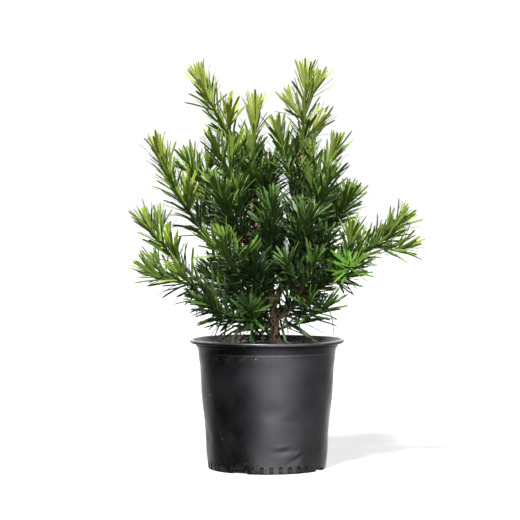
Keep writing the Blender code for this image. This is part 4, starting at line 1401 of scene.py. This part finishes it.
KEY_FROM = Vector((-0.30, -1.05, 1.25))
KEY_TARGET = Vector((0.0, 0.0, 0.0))
KEY_POWER = 6.5
KEY_SPREAD = math.radians(7)
FILL_LAMP_PLACE = Vector((0.5, -3.0, 0.70))
FILL_LAMP_TARGET = Vector((0.0, 0.0, 0.4))
FILL_LAMP_SIZE = 1.6
FILL_LAMP_POWER = 13.0


def aim(thing, place, target):
    """Puts a lamp or the camera at a place, turned to look at its target."""
    thing.location = place
    thing.rotation_euler = (target - place).to_track_quat("-Z", "Y").to_euler()


def place_lamp(name, lamp, place, target):
    lit = bpy.data.objects.new(name, lamp)
    lit.visible_camera = False
    bpy.context.scene.collection.objects.link(lit)
    aim(lit, place, target)


key = bpy.data.lights.new("key", "SUN")
key.energy, key.angle = KEY_POWER, KEY_SPREAD
place_lamp("key", key, KEY_FROM, KEY_TARGET)
fill = bpy.data.lights.new("fill_lamp", "AREA")
fill.size, fill.energy = FILL_LAMP_SIZE, FILL_LAMP_POWER
place_lamp("fill_lamp", fill, FILL_LAMP_PLACE, FILL_LAMP_TARGET)

# The camera sees the room white. The light that the room gives grows from the front to the back:
# the first two numbers say between which directions, and the last two how bright it is there.
ROOM_BACKDROP = 1.0
ROOM_BEHIND = (0.15, 0.85, 0.012, 0.38)

# How bright what shines sees the room, by the degrees round from the front, and by height
SHEEN_POWER = 3.2
SHEEN_TOP = (0.10, 0.80, 0.0, 3.00)
SHEEN_RISE = (-0.85, 0.35, 0.35, 1.70)
SHEEN_ROUND = {
    **{-180: 0.45, -150: 0.22, -110: 0.02, -44: 0.00, -22: 0.32, -2: 0.96},
    **{24: 1.05, 44: 0.66, 66: 0.26, 120: 0.10, 152: 0.26, 180: 0.45},
}


def sheen_round(tree, direction):
    """How bright the room is to what shines, by the direction round the plant and up from it."""
    turn = reckon(tree, "ARCTAN2", direction["X"], reckon(tree, "MULTIPLY", direction["Y"], -1.0))
    ramp = tree.nodes.new("ShaderNodeValToRGB")
    tree.links.new(spread_out(tree, turn, -math.pi, math.pi), ramp.inputs["Fac"])
    stops = ramp.color_ramp.elements
    for number, (degrees, value) in enumerate(SHEEN_ROUND.items()):
        stop = stops[number] if number < 2 else stops.new(1.0)
        stop.position = (degrees + 180) / 360
        stop.color = (value, value, value, 1.0)
    around = reckon(tree, "MULTIPLY", ramp.outputs["Color"], SHEEN_POWER)
    wall = reckon(tree, "MULTIPLY", around, spread_out(tree, direction["Z"], *SHEEN_RISE))
    return reckon(tree, "ADD", wall, spread_out(tree, direction["Z"], *SHEEN_TOP))


def pale_room():
    """The room: white to the camera, dim in front and brighter behind, and a stripe to what shines."""
    room = bpy.data.worlds.new("pale_room")
    room.use_nodes = True
    tree = room.node_tree
    place = tree.nodes.new("ShaderNodeTexCoord")
    split = tree.nodes.new("ShaderNodeSeparateXYZ")
    tree.links.new(place.outputs["Generated"], split.inputs["Vector"])
    behind = spread_out(tree, split.outputs["Y"], *ROOM_BEHIND)
    behind.node.interpolation_type = "SMOOTHSTEP"
    ray = tree.nodes.new("ShaderNodeLightPath")
    shone = tree.nodes.new("ShaderNodeMix")
    tree.links.new(behind, shone.inputs["A"])
    tree.links.new(sheen_round(tree, split.outputs), shone.inputs["B"])
    seen = tree.nodes.new("ShaderNodeMix")
    seen.inputs["B"].default_value = ROOM_BACKDROP
    background = tree.nodes["Background"]
    background.inputs["Color"].default_value = (1.0, 1.0, 1.0, 1.0)
    link_nodes(
        tree,
        (ray, "Is Glossy Ray", shone, "Factor"),
        (ray, "Is Camera Ray", seen, "Factor"),
        (shone, "Result", seen, "A"),
        (seen, "Result", background, "Strength"),
    )
    return room


bpy.context.scene.world = pale_room()

# The camera stands well in front with a long lens, level with the middle of the crown, and looks a
# little down, so that the plant fills the picture and the pot's rim shows as it does in the photo.
CAMERA_PLACE = Vector((-0.0127, -4.0, 0.495))
CAMERA_TARGET = Vector((-0.0127, 0.0, 0.379))
CAMERA_LENS = 152.3
CAMERA_SEES_TO = 100.0
lens = bpy.data.cameras.new("camera")
lens.lens = CAMERA_LENS
lens.clip_end = CAMERA_SEES_TO
camera = bpy.data.objects.new("camera", lens)
bpy.context.scene.collection.objects.link(camera)
aim(camera, CAMERA_PLACE, CAMERA_TARGET)
bpy.context.scene.camera = camera
bpy.context.scene.view_settings.view_transform = "Standard"
